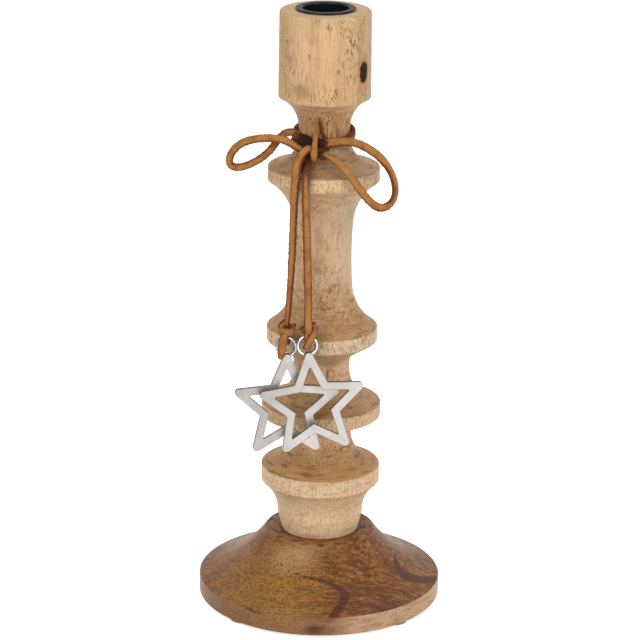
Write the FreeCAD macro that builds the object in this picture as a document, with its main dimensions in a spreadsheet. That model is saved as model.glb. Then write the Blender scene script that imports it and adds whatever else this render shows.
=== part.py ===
import FreeCAD, Part
import math
import os

import Sketcher

# Turned wooden holder for one taper candle: a bell-shaped base, a turned column
# with four collars, a black metal cup let into the top, and a soft lace tied in
# a bow round the neck. Each lace end carries a ring, and a star plate hangs on it.
# Millimetres, +Z up, origin on the floor under the middle of the base, front at -Y.

doc = FreeCAD.newDocument("candle_holder")

# Driving sizes: name, value, what it is.
SIZES = (
    ("pad_thickness", 1.2, "felt pad"),
    ("pad_radius", 6.0, "felt pad"),
    ("pad_inset", 1.2, "rim of the base to the edge of a pad"),
    ("base_radius", 60.5, "rim of the base"),
    ("rim_height", 9.7, "upright rim of the base"),
    ("rim_rounding", 1.0, "edges of the rim"),
    ("boss_radius", 27.0, "flat top of the base"),
    ("boss_rounding", 1.2, "edge of that flat top"),
    ("base_height", 34.2, "underside of the base to its flat top"),
    ("bell_radius", 62.0, "arc of the hollow slope"),
    ("recess_radius", 44.0, "hollow under the base"),
    ("recess_depth", 3.0, "hollow under the base"),
    ("tenon_radius", 11.0, "peg under the column"),
    ("tenon_length", 17.5, "peg under the column"),
    ("glue_gap", 0.1, "peg to its socket, all round"),
    ("glue_pocket", 0.5, "end of the peg to the floor of its socket"),
    ("screw_head_radius", 5.0, "countersunk screw"),
    ("screw_head_height", 2.9, "countersunk screw"),
    ("screw_radius", 2.2, "shank"),
    ("screw_length", 50.0, "countersunk screw"),
    ("screw_point", 5.0, "tapered end of the screw"),
    ("screw_gap", 0.1, "shank to its holes"),
    ("pilot_spare", 1.5, "end of the screw to the end of its hole"),
    ("foot_radius", 19.2, "column where it meets the base"),
    ("stem_radius", 21.3, "column above its foot"),
    ("stem_height", 9.0, "foot of the column"),
    ("big_collar_radius", 29.5, "two lower collars"),
    ("small_collar_radius", 27.3, "two upper collars"),
    ("first_under_rise", 16.7, "top of the foot to the lowest collar"),
    ("first_collar_side", 8.7, "lowest collar"),
    ("low_waist_radius", 15.1, "between the lower collars"),
    ("low_waist_rise", 16.4, "lowest collar's edge to the waist"),
    ("second_collar_rise", 25.9, "lowest collar to the second"),
    ("second_collar_side", 7.0, "second collar"),
    ("second_slope_angle", 25.0, "underside of the second collar, degrees"),
    ("second_cove", 4.0, "arc under the second collar"),
    ("mid_waist_radius", 13.9, "between the second and third collars"),
    ("mid_waist_rise", 16.2, "second collar's edge to the waist"),
    ("third_collar_rise", 32.1, "second collar to the third"),
    ("third_collar_side", 7.0, "third collar"),
    ("third_slope_angle", 32.0, "underside of the third collar, degrees"),
    ("third_cove", 6.0, "arc under the third collar"),
    ("third_over_rise", 20.9, "third collar's edge to the long shaft"),
    ("shaft_length", 32.1, "long shaft"),
    ("shaft_end_radius", 14.65, "both ends of the long shaft"),
    ("shaft_dip", 0.55, "how far the shaft draws in at its middle"),
    ("top_under_rise", 21.5, "long shaft to the top collar"),
    ("top_collar_side", 6.9, "top collar"),
    ("collar_edge", 0.9, "rounding of the collars' edges"),
    ("neck_radius", 12.5, "neck under the candle block"),
    ("top_over_rise", 14.5, "top collar's edge to the neck"),
    ("neck_length", 4.6, "neck"),
    ("block_radius", 22.4, "candle block at its lower edge"),
    ("block_under_rise", 15.3, "neck to the side of the candle block"),
    ("block_side", 42.4, "side of the candle block"),
    ("block_top_radius", 22.1, "candle block at its top"),
    ("block_rounding", 1.6, "top edge of the candle block"),
    ("candle_radius", 11.0, "standard taper candle"),
    ("candle_gap", 0.2, "candle to its cup"),
    ("cup_wall", 0.8, "candle cup"),
    ("cup_depth", 24.0, "candle cup inside"),
    ("cup_fit", 0.1, "candle cup to the wood"),
    ("cup_floor_gap", 0.6, "candle cup to the floor of its hole"),
    ("flange_radius", 14.65, "lip of the candle cup"),
    ("flange_thickness", 1.0, "lip of the candle cup"),
    ("flange_rounding", 0.55, "outer edge of the lip"),
    ("mouth_rounding", 0.8, "inner edge of the lip"),
    ("lace_diameter", 3.2, "round section that stands for the lace"),
    ("lace_thickness", 1.6, "lace where it lies flat"),
    ("lace_width", 3.2, "lace where it lies flat"),
    ("lace_gap", 0.35, "lace to the wood and the metal"),
    ("wrap_rise", 1.7, "foot of the neck to the lace round it"),
    ("wrap_tilt_angle", 8.0, "lace round the neck, lower in front, degrees"),
    ("bow_half_width", 7.0, "knot of the bow"),
    ("bow_half_height", 4.6, "knot of the bow"),
    ("bow_half_depth", 3.1, "knot of the bow"),
    ("bow_x", -4.4, "knot of the bow, from the middle"),
    ("bow_drop", 1.9, "foot of the neck to the middle of that knot"),
    ("bow_rounding", 2.4, "edges of that knot"),
    ("strap_thickness", 1.5, "lace over the front of the knot"),
    ("strap_width", 2.8, "lace over the front of the knot"),
    ("strap_rounding", 1.2, "edges of the strap"),
    ("knot_radius", 3.5, "knot above a ring"),
    ("eye_room", 1.8, "inside radius of the lace's eye round a ring"),
    ("left_end_length", 17.3, "free end of the lace in front of the left ring"),
    ("left_end_shift", 1.9, "that free end to the left of its knot"),
    ("right_end_length", 6.2, "free end of the lace inside the right ring"),
    ("ring_radius", 4.65, "ring, to the middle of its wire"),
    ("ring_wire", 1.5, "ring"),
    ("ring_slit", 0.12, "cut where the ring closes"),
    ("ring_slit_angle", 62.0, "cut from the top of the ring, degrees"),
    ("star_point_radius", 29.6, "middle of a star to a sharp point"),
    ("star_notch_radius", 13.6, "middle of a star to a notch"),
    ("star_band", 3.9, "width of a star's band"),
    ("star_thickness", 2.4, "star plate"),
    ("star_tip_rounding", 2.0, "outer points"),
    ("star_notch_rounding", 0.8, "outer notches"),
    ("star_window_rounding", 0.5, "corners of the cut-out"),
    ("star_edge_break", 0.25, "edges of the faces"),
    ("loop_room", 1.05, "inside radius of the loop behind a star"),
    ("loop_wall", 0.6, "loop behind a star"),
    ("loop_width", 1.8, "loop behind a star"),
    ("loop_drop", 1.8, "tip of a star to the middle of the loop"),
    ("star_turn_angle", 8.0, "stars face a little to the right, degrees"),
    ("star_lean_angle", 5.5, "stars stand out at the bottom, degrees"),
    ("star_clearance", 0.35, "rear star to the second collar"),
    ("star_spacing", 3.0, "front face of the rear star to the front star"),
    ("left_ring_x", -17.07, "middle of the left ring"),
    ("left_hang", 96.6, "knot of the bow down to the middle of the left ring"),
    ("left_swing_angle", -0.8, "rear star at rest, degrees"),
    ("right_ring_x", -6.87, "middle of the right ring"),
    ("right_hang", 94.5, "knot of the bow down to the middle of the right ring"),
    ("right_swing_angle", 4.2, "front star at rest, degrees"),
)

# Sizes that follow from the driving ones.
DERIVED = (
    ("rim_top", "=pad_thickness + rim_height"),
    ("base_top", "=pad_thickness + base_height"),
    ("recess_roof", "=pad_thickness + recess_depth"),
    ("mortise_radius", "=tenon_radius + glue_gap"),
    ("tenon_end", "=base_top - tenon_length"),
    ("mortise_floor", "=tenon_end - glue_pocket"),
    ("screw_hole_radius", "=screw_radius + screw_gap"),
    ("screw_shank_start", "=recess_roof + screw_head_height"),
    ("sink_share", "=(screw_head_radius - screw_hole_radius) / (screw_head_radius - screw_radius)"),
    ("sink_top", "=recess_roof + screw_head_height * sink_share"),
    ("screw_end", "=recess_roof + screw_length"),
    ("screw_taper", "=screw_end - screw_point"),
    ("pilot_end", "=screw_end + pilot_spare"),
    ("pad_ring", "=base_radius - pad_inset - pad_radius"),
    ("stem_top", "=base_top + stem_height"),
    ("first_collar_bottom", "=stem_top + first_under_rise"),
    ("first_under", "=((big_collar_radius - stem_radius)^2 + first_under_rise^2)"
                    " / (2 * (big_collar_radius - stem_radius))"),
    ("first_collar_top", "=first_collar_bottom + first_collar_side"),
    ("low_waist", "=first_collar_top + low_waist_rise"),
    ("first_over", "=((big_collar_radius - low_waist_radius)^2 + low_waist_rise^2)"
                   " / (2 * (big_collar_radius - low_waist_radius))"),
    ("second_collar_bottom", "=first_collar_top + second_collar_rise"),
    ("second_cone_radius", "=low_waist_radius + second_cove * (1 - sin(second_slope_angle))"),
    ("second_cone", "=second_collar_bottom"
                    " - (big_collar_radius - second_cone_radius) * tan(second_slope_angle)"),
    ("second_cove_start", "=second_cone - second_cove * cos(second_slope_angle)"),
    ("second_collar_top", "=second_collar_bottom + second_collar_side"),
    ("mid_waist", "=second_collar_top + mid_waist_rise"),
    ("second_over", "=((big_collar_radius - mid_waist_radius)^2 + mid_waist_rise^2)"
                    " / (2 * (big_collar_radius - mid_waist_radius))"),
    ("third_collar_bottom", "=second_collar_top + third_collar_rise"),
    ("third_cone_radius", "=mid_waist_radius + third_cove * (1 - sin(third_slope_angle))"),
    ("third_cone", "=third_collar_bottom"
                   " - (small_collar_radius - third_cone_radius) * tan(third_slope_angle)"),
    ("third_cove_start", "=third_cone - third_cove * cos(third_slope_angle)"),
    ("third_collar_top", "=third_collar_bottom + third_collar_side"),
    ("shaft_bottom", "=third_collar_top + third_over_rise"),
    ("shaft_top", "=shaft_bottom + shaft_length"),
    ("shaft_half", "=shaft_length / 2"),
    ("shaft_arc", "=(shaft_half^2 + shaft_dip^2) / (2 * shaft_dip)"),
    ("shaft_sine", "=shaft_half / shaft_arc"),
    ("shaft_cosine", "=sqrt(1 - shaft_sine^2)"),
    ("shaft_step", "=small_collar_radius - shaft_end_radius"),
    ("third_over", "=(shaft_step^2 + third_over_rise^2)"
                   " / (2 * (shaft_step * shaft_cosine - third_over_rise * shaft_sine))"),
    ("top_collar_bottom", "=shaft_top + top_under_rise"),
    ("top_under", "=(shaft_step^2 + top_under_rise^2)"
                  " / (2 * (shaft_step * shaft_cosine - top_under_rise * shaft_sine))"),
    ("top_collar_top", "=top_collar_bottom + top_collar_side"),
    ("neck_bottom", "=top_collar_top + top_over_rise"),
    ("top_over", "=((small_collar_radius - neck_radius)^2 + top_over_rise^2)"
                 " / (2 * (small_collar_radius - neck_radius))"),
    ("neck_top", "=neck_bottom + neck_length"),
    ("block_bottom", "=neck_top + block_under_rise"),
    ("block_under", "=((block_radius - neck_radius)^2 + block_under_rise^2)"
                    " / (2 * (block_radius - neck_radius))"),
    ("wood_height", "=block_bottom + block_side"),
    ("bore_radius", "=candle_radius + candle_gap"),
    ("cup_radius", "=bore_radius + cup_wall"),
    ("socket_radius", "=cup_radius + cup_fit"),
    ("cup_top", "=wood_height + flange_thickness"),
    ("cup_floor", "=cup_top - cup_depth"),
    ("cup_bottom", "=cup_floor - cup_wall"),
    ("socket_floor", "=cup_bottom - cup_floor_gap"),
    ("wrap_radius", "=neck_radius + 2 * lace_gap + lace_diameter / 2"),
    ("wrap_height", "=neck_bottom + wrap_rise"),
    ("bow_height", "=neck_bottom - bow_drop"),
    ("bow_depth", "=wrap_radius + lace_diameter / 2 + bow_half_depth / 2"),
    ("left_ring_height", "=bow_height - left_hang"),
    ("right_ring_height", "=bow_height - right_hang"),
    ("wire_radius", "=ring_wire / 2"),
    ("notch_x", "=star_notch_radius * sin(36)"),
    ("notch_y", "=star_notch_radius * cos(36)"),
    ("point_half", "=atan(notch_x / (star_point_radius - notch_y))"),
    ("window_point", "=star_point_radius - star_band / sin(point_half)"),
    ("window_notch", "=star_notch_radius - star_band / sin(point_half + 36 deg)"),
    ("window_x", "=window_notch * sin(36)"),
    ("window_y", "=window_notch * cos(36)"),
    ("star_reach", "=star_point_radius - star_tip_rounding * (1 / sin(point_half) - 1)"),
    ("loop_height", "=star_reach - loop_drop"),
    ("loop_outer", "=loop_room + loop_wall"),
    ("star_drop", "=loop_height + ring_radius"),
)

sheet = doc.addObject("Spreadsheet::Sheet", "Sizes")
for row, (name, value, meaning) in enumerate(SIZES, 1):
    sheet.set(f"A{row}", name)
    sheet.set(f"B{row}", str(value))
    sheet.set(f"C{row}", meaning)
    sheet.setAlias(f"B{row}", name)
for row, (name, formula) in enumerate(DERIVED, len(SIZES) + 2):
    sheet.set(f"A{row}", name)
    sheet.set(f"B{row}", formula)
    sheet.setAlias(f"B{row}", name)
doc.recompute()


def size(name):
    """Number in the sheet's cell of that name."""
    return float(sheet.get(name))


def bind(item, prop, formula):
    """Tie one property of a feature to cells of the sheet."""
    item.setExpression(prop, formula)


def origin_plane(body, role):
    """One of a body's own origin planes, such as XZ_Plane."""
    return next(item for item in body.Origin.OriginFeatures if item.Role == role)


def new_sketch(body, name, role):
    """Empty sketch on one of the body's own planes."""
    sketch = body.newObject("Sketcher::SketchObject", name)
    sketch.AttachmentSupport = [(origin_plane(body, role), "")]
    sketch.MapMode = "FlatFace"
    return sketch


def place_corner(sketch, geometry, point, cells):
    """Hold one corner by the cells of its two distances from the sketch's origin."""
    for kind, cell, axis in (("DistanceX", cells[0], -2), ("DistanceY", cells[1], -1)):
        if cell is None:
            sketch.addConstraint(Sketcher.Constraint("PointOnObject", geometry, point, axis))
            continue
        value = size(cell) if isinstance(cell, str) else cell
        index = sketch.addConstraint(
            Sketcher.Constraint(kind, -1, 1, geometry, point, value))
        sketch.setExpression(f"Constraints[{index}]", f"Sizes.{cell}")


def closed_outline(sketch, corners, arcs):
    """Closed outline through corners, each (x cell, y cell), None for zero.

    arcs maps the number of the corner that an edge leaves to (radius cell, side):
    side +1 puts the arc's centre on the left of the way from corner to corner.
    """
    places = [FreeCAD.Vector(size(x) if x else 0.0, size(y) if y else 0.0, 0)
              for x, y in corners]
    count = len(corners)
    ends = []
    for number in range(count):
        start, end = places[number], places[(number + 1) % count]
        if number not in arcs:
            geometry = sketch.addGeometry(Part.LineSegment(start, end), False)
            ends.append((geometry, 1, 2))
            continue
        cell, side = arcs[number]
        radius = size(cell)
        along = end - start
        across = FreeCAD.Vector(-along.y, along.x, 0).normalize()
        reach = math.sqrt(max(radius ** 2 - (along.Length / 2) ** 2, 0.0))
        centre = (start + end) * 0.5 + across * (side * reach)
        first, last = (start, end) if side > 0 else (end, start)
        angles = [math.atan2(p.y - centre.y, p.x - centre.x) for p in (first, last)]
        circle = Part.Circle(centre, FreeCAD.Vector(0, 0, 1), radius)
        geometry = sketch.addGeometry(Part.ArcOfCircle(circle, *angles), False)
        ends.append((geometry, 1, 2) if side > 0 else (geometry, 2, 1))
        index = sketch.addConstraint(Sketcher.Constraint("Radius", geometry, radius))
        sketch.setExpression(f"Constraints[{index}]", f"Sizes.{cell}")
    for number in range(count):
        geometry, first, last = ends[number]
        after, after_first, after_last = ends[(number + 1) % count]
        sketch.addConstraint(
            Sketcher.Constraint("Coincident", geometry, last, after, after_first))
        place_corner(sketch, geometry, first, corners[number])
    return sketch


def turned_body(label, corners, arcs):
    """Body of revolution about +Z whose outline's corners are (radius, height) cells."""
    body = doc.addObject("PartDesign::Body", label)
    sketch = new_sketch(body, f"{label}_outline", "XZ_Plane")
    closed_outline(sketch, corners, arcs)
    turning = body.newObject("PartDesign::Revolution", f"{label}_turning")
    turning.Profile = sketch
    turning.ReferenceAxis = (sketch, ["V_Axis"])
    turning.Angle = 360
    sketch.Visibility = False
    doc.recompute()
    return body


def edges_where(body, wanted):
    """Names of the body's edges for which wanted(edge) is true."""
    return [f"Edge{number}" for number, edge in enumerate(body.Shape.Edges, 1) if wanted(edge)]


def ring_edge(radius_cell, height_cell):
    """Test for the whole circle of that radius at that height about +Z."""
    radius, height = size(radius_cell), size(height_cell)

    def wanted(edge):
        curve = edge.Curve
        return (isinstance(curve, Part.Circle) and abs(curve.Radius - radius) < 1e-4
                and abs(curve.Center.z - height) < 1e-4)
    return wanted


def round_edges(body, name, wanted, cell, kind="PartDesign::Fillet", prop="Radius"):
    """Fillet or chamfer the edges that pass the test, by the cell's size."""
    names = edges_where(body, wanted)
    rounding = body.newObject(kind, name)
    rounding.Base = (body.Tip if body.Tip != rounding else rounding.BaseFeature, names)
    bind(rounding, prop, f"Sizes.{cell}")
    body.Tip = rounding
    doc.recompute()
    return rounding


def straight_edge_at(radius, centre=(0.0, 0.0)):
    """Test for an edge along Y at that distance from the plate's middle in XZ."""
    def wanted(edge):
        if len(edge.Vertexes) != 2:
            return False
        first, last = (vertex.Point for vertex in edge.Vertexes)
        same = abs(first.x - last.x) < 1e-6 and abs(first.z - last.z) < 1e-6
        away = math.hypot(first.x - centre[0], first.z - centre[1])
        return same and abs(away - radius) < 1e-4
    return wanted


# The base: bell-shaped slope, upright rim, socket for the peg, hole for the screw.
base = turned_body("base", (
    ("base_radius", "pad_thickness"),
    ("base_radius", "rim_top"),
    ("boss_radius", "base_top"),
    ("mortise_radius", "base_top"),
    ("mortise_radius", "mortise_floor"),
    ("screw_hole_radius", "mortise_floor"),
    ("screw_hole_radius", "sink_top"),
    ("screw_head_radius", "recess_roof"),
    ("recess_radius", "recess_roof"),
    ("recess_radius", "pad_thickness"),
), {1: ("bell_radius", -1)})
for cell, height in (("base_radius", "rim_top"), ("base_radius", "pad_thickness")):
    round_edges(base, f"rim_rounding_{height}", ring_edge(cell, height), "rim_rounding")
round_edges(base, "boss_edge", ring_edge("boss_radius", "base_top"), "boss_rounding")

# The column: peg, foot, four collars with hollow waists, neck and candle block.
column = turned_body("column", (
    ("screw_hole_radius", "tenon_end"),
    ("tenon_radius", "tenon_end"),
    ("tenon_radius", "base_top"),
    ("foot_radius", "base_top"),
    ("stem_radius", "stem_top"),
    ("big_collar_radius", "first_collar_bottom"),
    ("big_collar_radius", "first_collar_top"),
    ("low_waist_radius", "low_waist"),
    ("low_waist_radius", "second_cove_start"),
    ("second_cone_radius", "second_cone"),
    ("big_collar_radius", "second_collar_bottom"),
    ("big_collar_radius", "second_collar_top"),
    ("mid_waist_radius", "mid_waist"),
    ("mid_waist_radius", "third_cove_start"),
    ("third_cone_radius", "third_cone"),
    ("small_collar_radius", "third_collar_bottom"),
    ("small_collar_radius", "third_collar_top"),
    ("shaft_end_radius", "shaft_bottom"),
    ("shaft_end_radius", "shaft_top"),
    ("small_collar_radius", "top_collar_bottom"),
    ("small_collar_radius", "top_collar_top"),
    ("neck_radius", "neck_bottom"),
    ("neck_radius", "neck_top"),
    ("block_radius", "block_bottom"),
    ("block_top_radius", "wood_height"),
    ("socket_radius", "wood_height"),
    ("socket_radius", "socket_floor"),
    (None, "socket_floor"),
    (None, "pilot_end"),
    ("screw_hole_radius", "pilot_end"),
), {
    4: ("first_under", -1),
    6: ("first_over", -1),
    8: ("second_cove", -1),
    11: ("second_over", -1),
    13: ("third_cove", -1),
    16: ("third_over", -1),
    17: ("shaft_arc", -1),
    18: ("top_under", -1),
    20: ("top_over", -1),
    22: ("block_under", -1),
})
COLLARS = (
    ("first", "big_collar_radius"),
    ("second", "big_collar_radius"),
    ("third", "small_collar_radius"),
    ("top", "small_collar_radius"),
)
for collar, radius in COLLARS:
    for edge in ("bottom", "top"):
        round_edges(column, f"{collar}_collar_{edge}_edge",
                    ring_edge(radius, f"{collar}_collar_{edge}"), "collar_edge")
round_edges(column, "block_edge", ring_edge("block_top_radius", "wood_height"), "block_rounding")

# The candle cup: pressed metal, with a rounded lip on the wood.
candle_cup = turned_body("candle_cup", (
    (None, "cup_bottom"),
    ("cup_radius", "cup_bottom"),
    ("cup_radius", "wood_height"),
    ("flange_radius", "wood_height"),
    ("flange_radius", "cup_top"),
    ("bore_radius", "cup_top"),
    ("bore_radius", "cup_floor"),
    (None, "cup_floor"),
), {})
round_edges(candle_cup, "lip_edge", ring_edge("flange_radius", "cup_top"), "flange_rounding")
round_edges(candle_cup, "mouth_edge", ring_edge("bore_radius", "cup_top"), "mouth_rounding")

# The screw that draws the column into the base.
base_screw = turned_body("base_screw", (
    (None, "recess_roof"),
    ("screw_head_radius", "recess_roof"),
    ("screw_radius", "screw_shank_start"),
    ("screw_radius", "screw_taper"),
    (None, "screw_end"),
), {})

# Four felt pads under the rim of the base.
PAD_COUNT = 4
pads = []
for number in range(PAD_COUNT):
    angle = 360.0 * (number + 0.5) / PAD_COUNT
    pad = doc.addObject("Part::Cylinder", f"pad_{number + 1}")
    bind(pad, "Radius", "Sizes.pad_radius")
    bind(pad, "Height", "Sizes.pad_thickness")
    bind(pad, "Placement.Base.x", f"Sizes.pad_ring * cos({angle})")
    bind(pad, "Placement.Base.y", f"Sizes.pad_ring * sin({angle})")
    pads.append(pad)
felt_pads = doc.addObject("Part::Compound", "felt_pads")
felt_pads.Links = pads


def pendant_frame(x, height, plane):
    """Placement of a ring: its middle on the tilted plane, its own -Y facing forward."""
    turn = FreeCAD.Rotation(size("star_turn_angle"), 0, -size("star_lean_angle"))
    facing = turn.multVec(FreeCAD.Vector(0, -1, 0))
    y = (plane - facing.x * x - facing.z * height) / facing.y
    return FreeCAD.Placement(FreeCAD.Vector(x, y, height), turn)


# The tilted planes: the rear star clears the second collar, the front one clears the rear.
LEAN = math.radians(size("star_lean_angle"))
REAR_BACK = (size("big_collar_radius") * math.cos(LEAN)
             + size("second_collar_top") * math.sin(LEAN) + size("star_clearance"))
FRONT_BACK = REAR_BACK + size("star_thickness") + size("star_spacing")
FRAMES = {
    "left": pendant_frame(size("left_ring_x"), size("left_ring_height"),
                          REAR_BACK - size("loop_room")),
    "right": pendant_frame(size("right_ring_x"), size("right_ring_height"),
                           FRONT_BACK - size("loop_room")),
}


def star_arm(body, name, x_cell, y_cell, point_cell):
    """Kite from the middle of the star to one point, on the body's XZ plane."""
    sketch = new_sketch(body, name, "XZ_Plane")
    x, y, point = size(x_cell), size(y_cell), size(point_cell)
    middle, tip = FreeCAD.Vector(0, 0, 0), FreeCAD.Vector(0, point, 0)
    right, left = FreeCAD.Vector(x, y, 0), FreeCAD.Vector(-x, y, 0)
    for start, end in ((middle, right), (right, tip), (tip, left), (left, middle)):
        sketch.addGeometry(Part.LineSegment(start, end), False)
    for number in range(4):
        sketch.addConstraint(
            Sketcher.Constraint("Coincident", number, 2, (number + 1) % 4, 1))
    sketch.addConstraint(Sketcher.Constraint("Coincident", 0, 1, -1, 1))
    place_corner(sketch, 1, 1, (x_cell, y_cell))
    place_corner(sketch, 2, 1, (None, point_cell))
    sketch.addConstraint(Sketcher.Constraint("Symmetric", 1, 1, 3, 1, -2))
    sketch.Visibility = False
    return sketch


POINTS = 5


def five_times(body, feature, sketch, name):
    """Repeat a feature round the star's middle, once for each point."""
    pattern = body.newObject("PartDesign::PolarPattern", name)
    pattern.Originals = [feature]
    pattern.Axis = (sketch, ["N_Axis"])
    pattern.Angle = 360
    pattern.Occurrences = POINTS
    body.Tip = pattern
    doc.recompute()
    return pattern


def star_plate(label):
    """Hollow five-pointed plate with a small loop behind its top point."""
    body = doc.addObject("PartDesign::Body", label)
    outline = star_arm(body, f"{label}_arm", "notch_x", "notch_y", "star_point_radius")
    arm = body.newObject("PartDesign::Pad", f"{label}_pad")
    arm.Profile = outline
    bind(arm, "Length", "Sizes.star_thickness")
    doc.recompute()
    five_times(body, arm, outline, f"{label}_arms")
    solid_star = body.Shape.Volume
    window = star_arm(body, f"{label}_window", "window_x", "window_y", "window_point")
    cut = body.newObject("PartDesign::Pocket", f"{label}_cut")
    cut.Profile = window
    cut.Type = 1
    cut.Midplane = True
    doc.recompute()
    five_times(body, cut, window, f"{label}_windows")
    if body.Shape.Volume > solid_star * 0.9:
        raise RuntimeError(f"{label}: the cut-out removed too little")
    for name, cell, rounding in (
            ("tips", "star_point_radius", "star_tip_rounding"),
            ("notches", "star_notch_radius", "star_notch_rounding"),
            ("window_tips", "window_point", "star_window_rounding"),
            ("window_notches", "window_notch", "star_window_rounding")):
        round_edges(body, f"{label}_{name}", straight_edge_at(size(cell)), rounding)
    faces = (0.0, -size("star_thickness"))

    def on_a_face(edge):
        return any(all(abs(vertex.Point.y - level) < 1e-6 for vertex in edge.Vertexes)
                   for level in faces)
    round_edges(body, f"{label}_edge_break", on_a_face, "star_edge_break",
                "PartDesign::Chamfer", "Size")
    loop = new_sketch(body, f"{label}_loop_outline", "YZ_Plane")
    room, outer, height = size("loop_room"), size("loop_outer"), size("loop_height")
    sides = ((outer, 1, "loop_outer"), (room, -1, "loop_room"))
    walls = {}
    for radius, turn, cell in sides:
        for sign in (1, -1):
            z = height + sign * radius
            walls[(cell, sign)] = loop.addGeometry(Part.LineSegment(
                FreeCAD.Vector(0, z, 0), FreeCAD.Vector(room, z, 0)), False)
        circle = Part.Circle(FreeCAD.Vector(room, height, 0), FreeCAD.Vector(0, 0, 1), radius)
        bend = loop.addGeometry(
            Part.ArcOfCircle(circle, -math.pi / 2, math.pi / 2), False)
        for point, sign in ((1, -1), (2, 1)):
            wall = walls[(cell, sign)]
            loop.addConstraint(Sketcher.Constraint("Coincident", bend, point, wall, 2))
            loop.addConstraint(Sketcher.Constraint("Horizontal", wall))
            loop.addConstraint(Sketcher.Constraint("PointOnObject", wall, 1, -2))
        index = loop.addConstraint(Sketcher.Constraint("Radius", bend, radius))
        loop.setExpression(f"Constraints[{index}]", f"Sizes.{cell}")
        place_corner(loop, bend, 3, ("loop_room", "loop_height"))
    for sign in (1, -1):
        inner, outside = walls[("loop_room", sign)], walls[("loop_outer", sign)]
        z = height + sign * room
        foot = loop.addGeometry(Part.LineSegment(
            FreeCAD.Vector(0, z, 0), FreeCAD.Vector(0, height + sign * outer, 0)), False)
        loop.addConstraint(Sketcher.Constraint("Coincident", foot, 1, inner, 1))
        loop.addConstraint(Sketcher.Constraint("Coincident", foot, 2, outside, 1))
    loop.Visibility = False
    eye = body.newObject("PartDesign::Pad", f"{label}_loop")
    eye.Profile = loop
    eye.Midplane = True
    bind(eye, "Length", "Sizes.loop_width")
    doc.recompute()
    return body


stars, rings = {}, {}
for side in ("left", "right"):
    star = star_plate(f"{side}_star")
    swing = FreeCAD.Rotation(FreeCAD.Vector(0, 1, 0), -size(f"{side}_swing_angle"))
    hang = FreeCAD.Placement(FreeCAD.Vector(0, 0, 0), swing).multiply(
        FreeCAD.Placement(FreeCAD.Vector(0, -size("loop_room"), -size("star_drop")),
                          FreeCAD.Rotation()))
    star.Placement = FRAMES[side].multiply(hang)
    stars[side] = star

    wire = doc.addObject("Part::Torus", f"{side}_ring_wire")
    bind(wire, "Radius1", "Sizes.ring_radius")
    bind(wire, "Radius2", "Sizes.wire_radius")
    wire.Placement = FreeCAD.Placement(
        FreeCAD.Vector(0, 0, 0), FreeCAD.Rotation(FreeCAD.Vector(1, 0, 0), 90))
    slit = doc.addObject("Part::Box", f"{side}_ring_slit")
    bind(slit, "Length", "Sizes.ring_slit")
    bind(slit, "Width", "2 * Sizes.ring_wire")
    bind(slit, "Height", "2 * Sizes.ring_wire")
    corner = FreeCAD.Vector(-size("ring_slit") / 2, -size("ring_wire"),
                            size("ring_radius") - size("ring_wire"))
    turn = FreeCAD.Rotation(FreeCAD.Vector(0, 1, 0), size("ring_slit_angle"))
    slit.Placement = FreeCAD.Placement(turn.multVec(corner), turn)
    ring = doc.addObject("Part::Cut", f"{side}_ring")
    ring.Base, ring.Tool = wire, slit
    doc.recompute()
    ring.Placement = FRAMES[side]
    rings[side] = ring


def lace_path(route):
    """Wire of straight runs and tangent arcs through a route, and its arc radii."""
    runs = [(b - a).Length for a, b in zip(route, route[1:])]
    edges, radii, start = [], [], route[0]
    for number in range(1, len(route) - 1):
        before = (route[number] - route[number - 1]).normalize()
        after = (route[number + 1] - route[number]).normalize()
        turn = before.getAngle(after)
        cut = 0.45 * min(runs[number - 1], runs[number])
        radius = cut / math.tan(turn / 2)
        radii.append(radius)
        enter = route[number] - before * cut
        leave = route[number] + after * cut
        inward = (after - before).normalize()
        middle = route[number] + inward * (radius / math.cos(turn / 2) - radius)
        edges.append(Part.LineSegment(start, enter).toShape())
        edges.append(Part.Arc(enter, middle, leave).toShape())
        start = leave
    edges.append(Part.LineSegment(start, route[-1]).toShape())
    return Part.Wire(edges), radii


def lace_tube(label, points):
    """Round tube along a route of the lace, with its radii and volume printed."""
    middle = bow_knot.Placement.Base
    route = [middle + FreeCAD.Vector(*point) for point in points]
    path, radii = lace_path(route)
    start, along = route[0], route[1] - route[0]
    radius = size("lace_diameter") / 2
    section = Part.Wire([Part.Circle(start, along, radius).toShape()])
    tube = path.makePipeShell([section], True, False)
    ideal = math.pi * radius ** 2 * path.Length
    print(f"{label}: length {path.Length:.1f} mm, arc radii "
          + ", ".join(f"{value:.1f}" for value in radii)
          + f"; volume {tube.Volume:.1f} of {ideal:.1f} mm3")
    if not tube.isValid() or abs(tube.Volume / ideal - 1) > 0.02:
        raise RuntimeError(f"{label}: the tube doesn't follow its route")
    return tube


def middle_box(name, length, width, height):
    """Box about the origin, its three sizes given as formulas."""
    box = doc.addObject("Part::Box", name)
    for prop, axis, formula in (("Length", "x", length), ("Width", "y", width),
                                ("Height", "z", height)):
        bind(box, prop, formula)
        bind(box, f"Placement.Base.{axis}", f"-({formula}) / 2")
    return box


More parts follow.
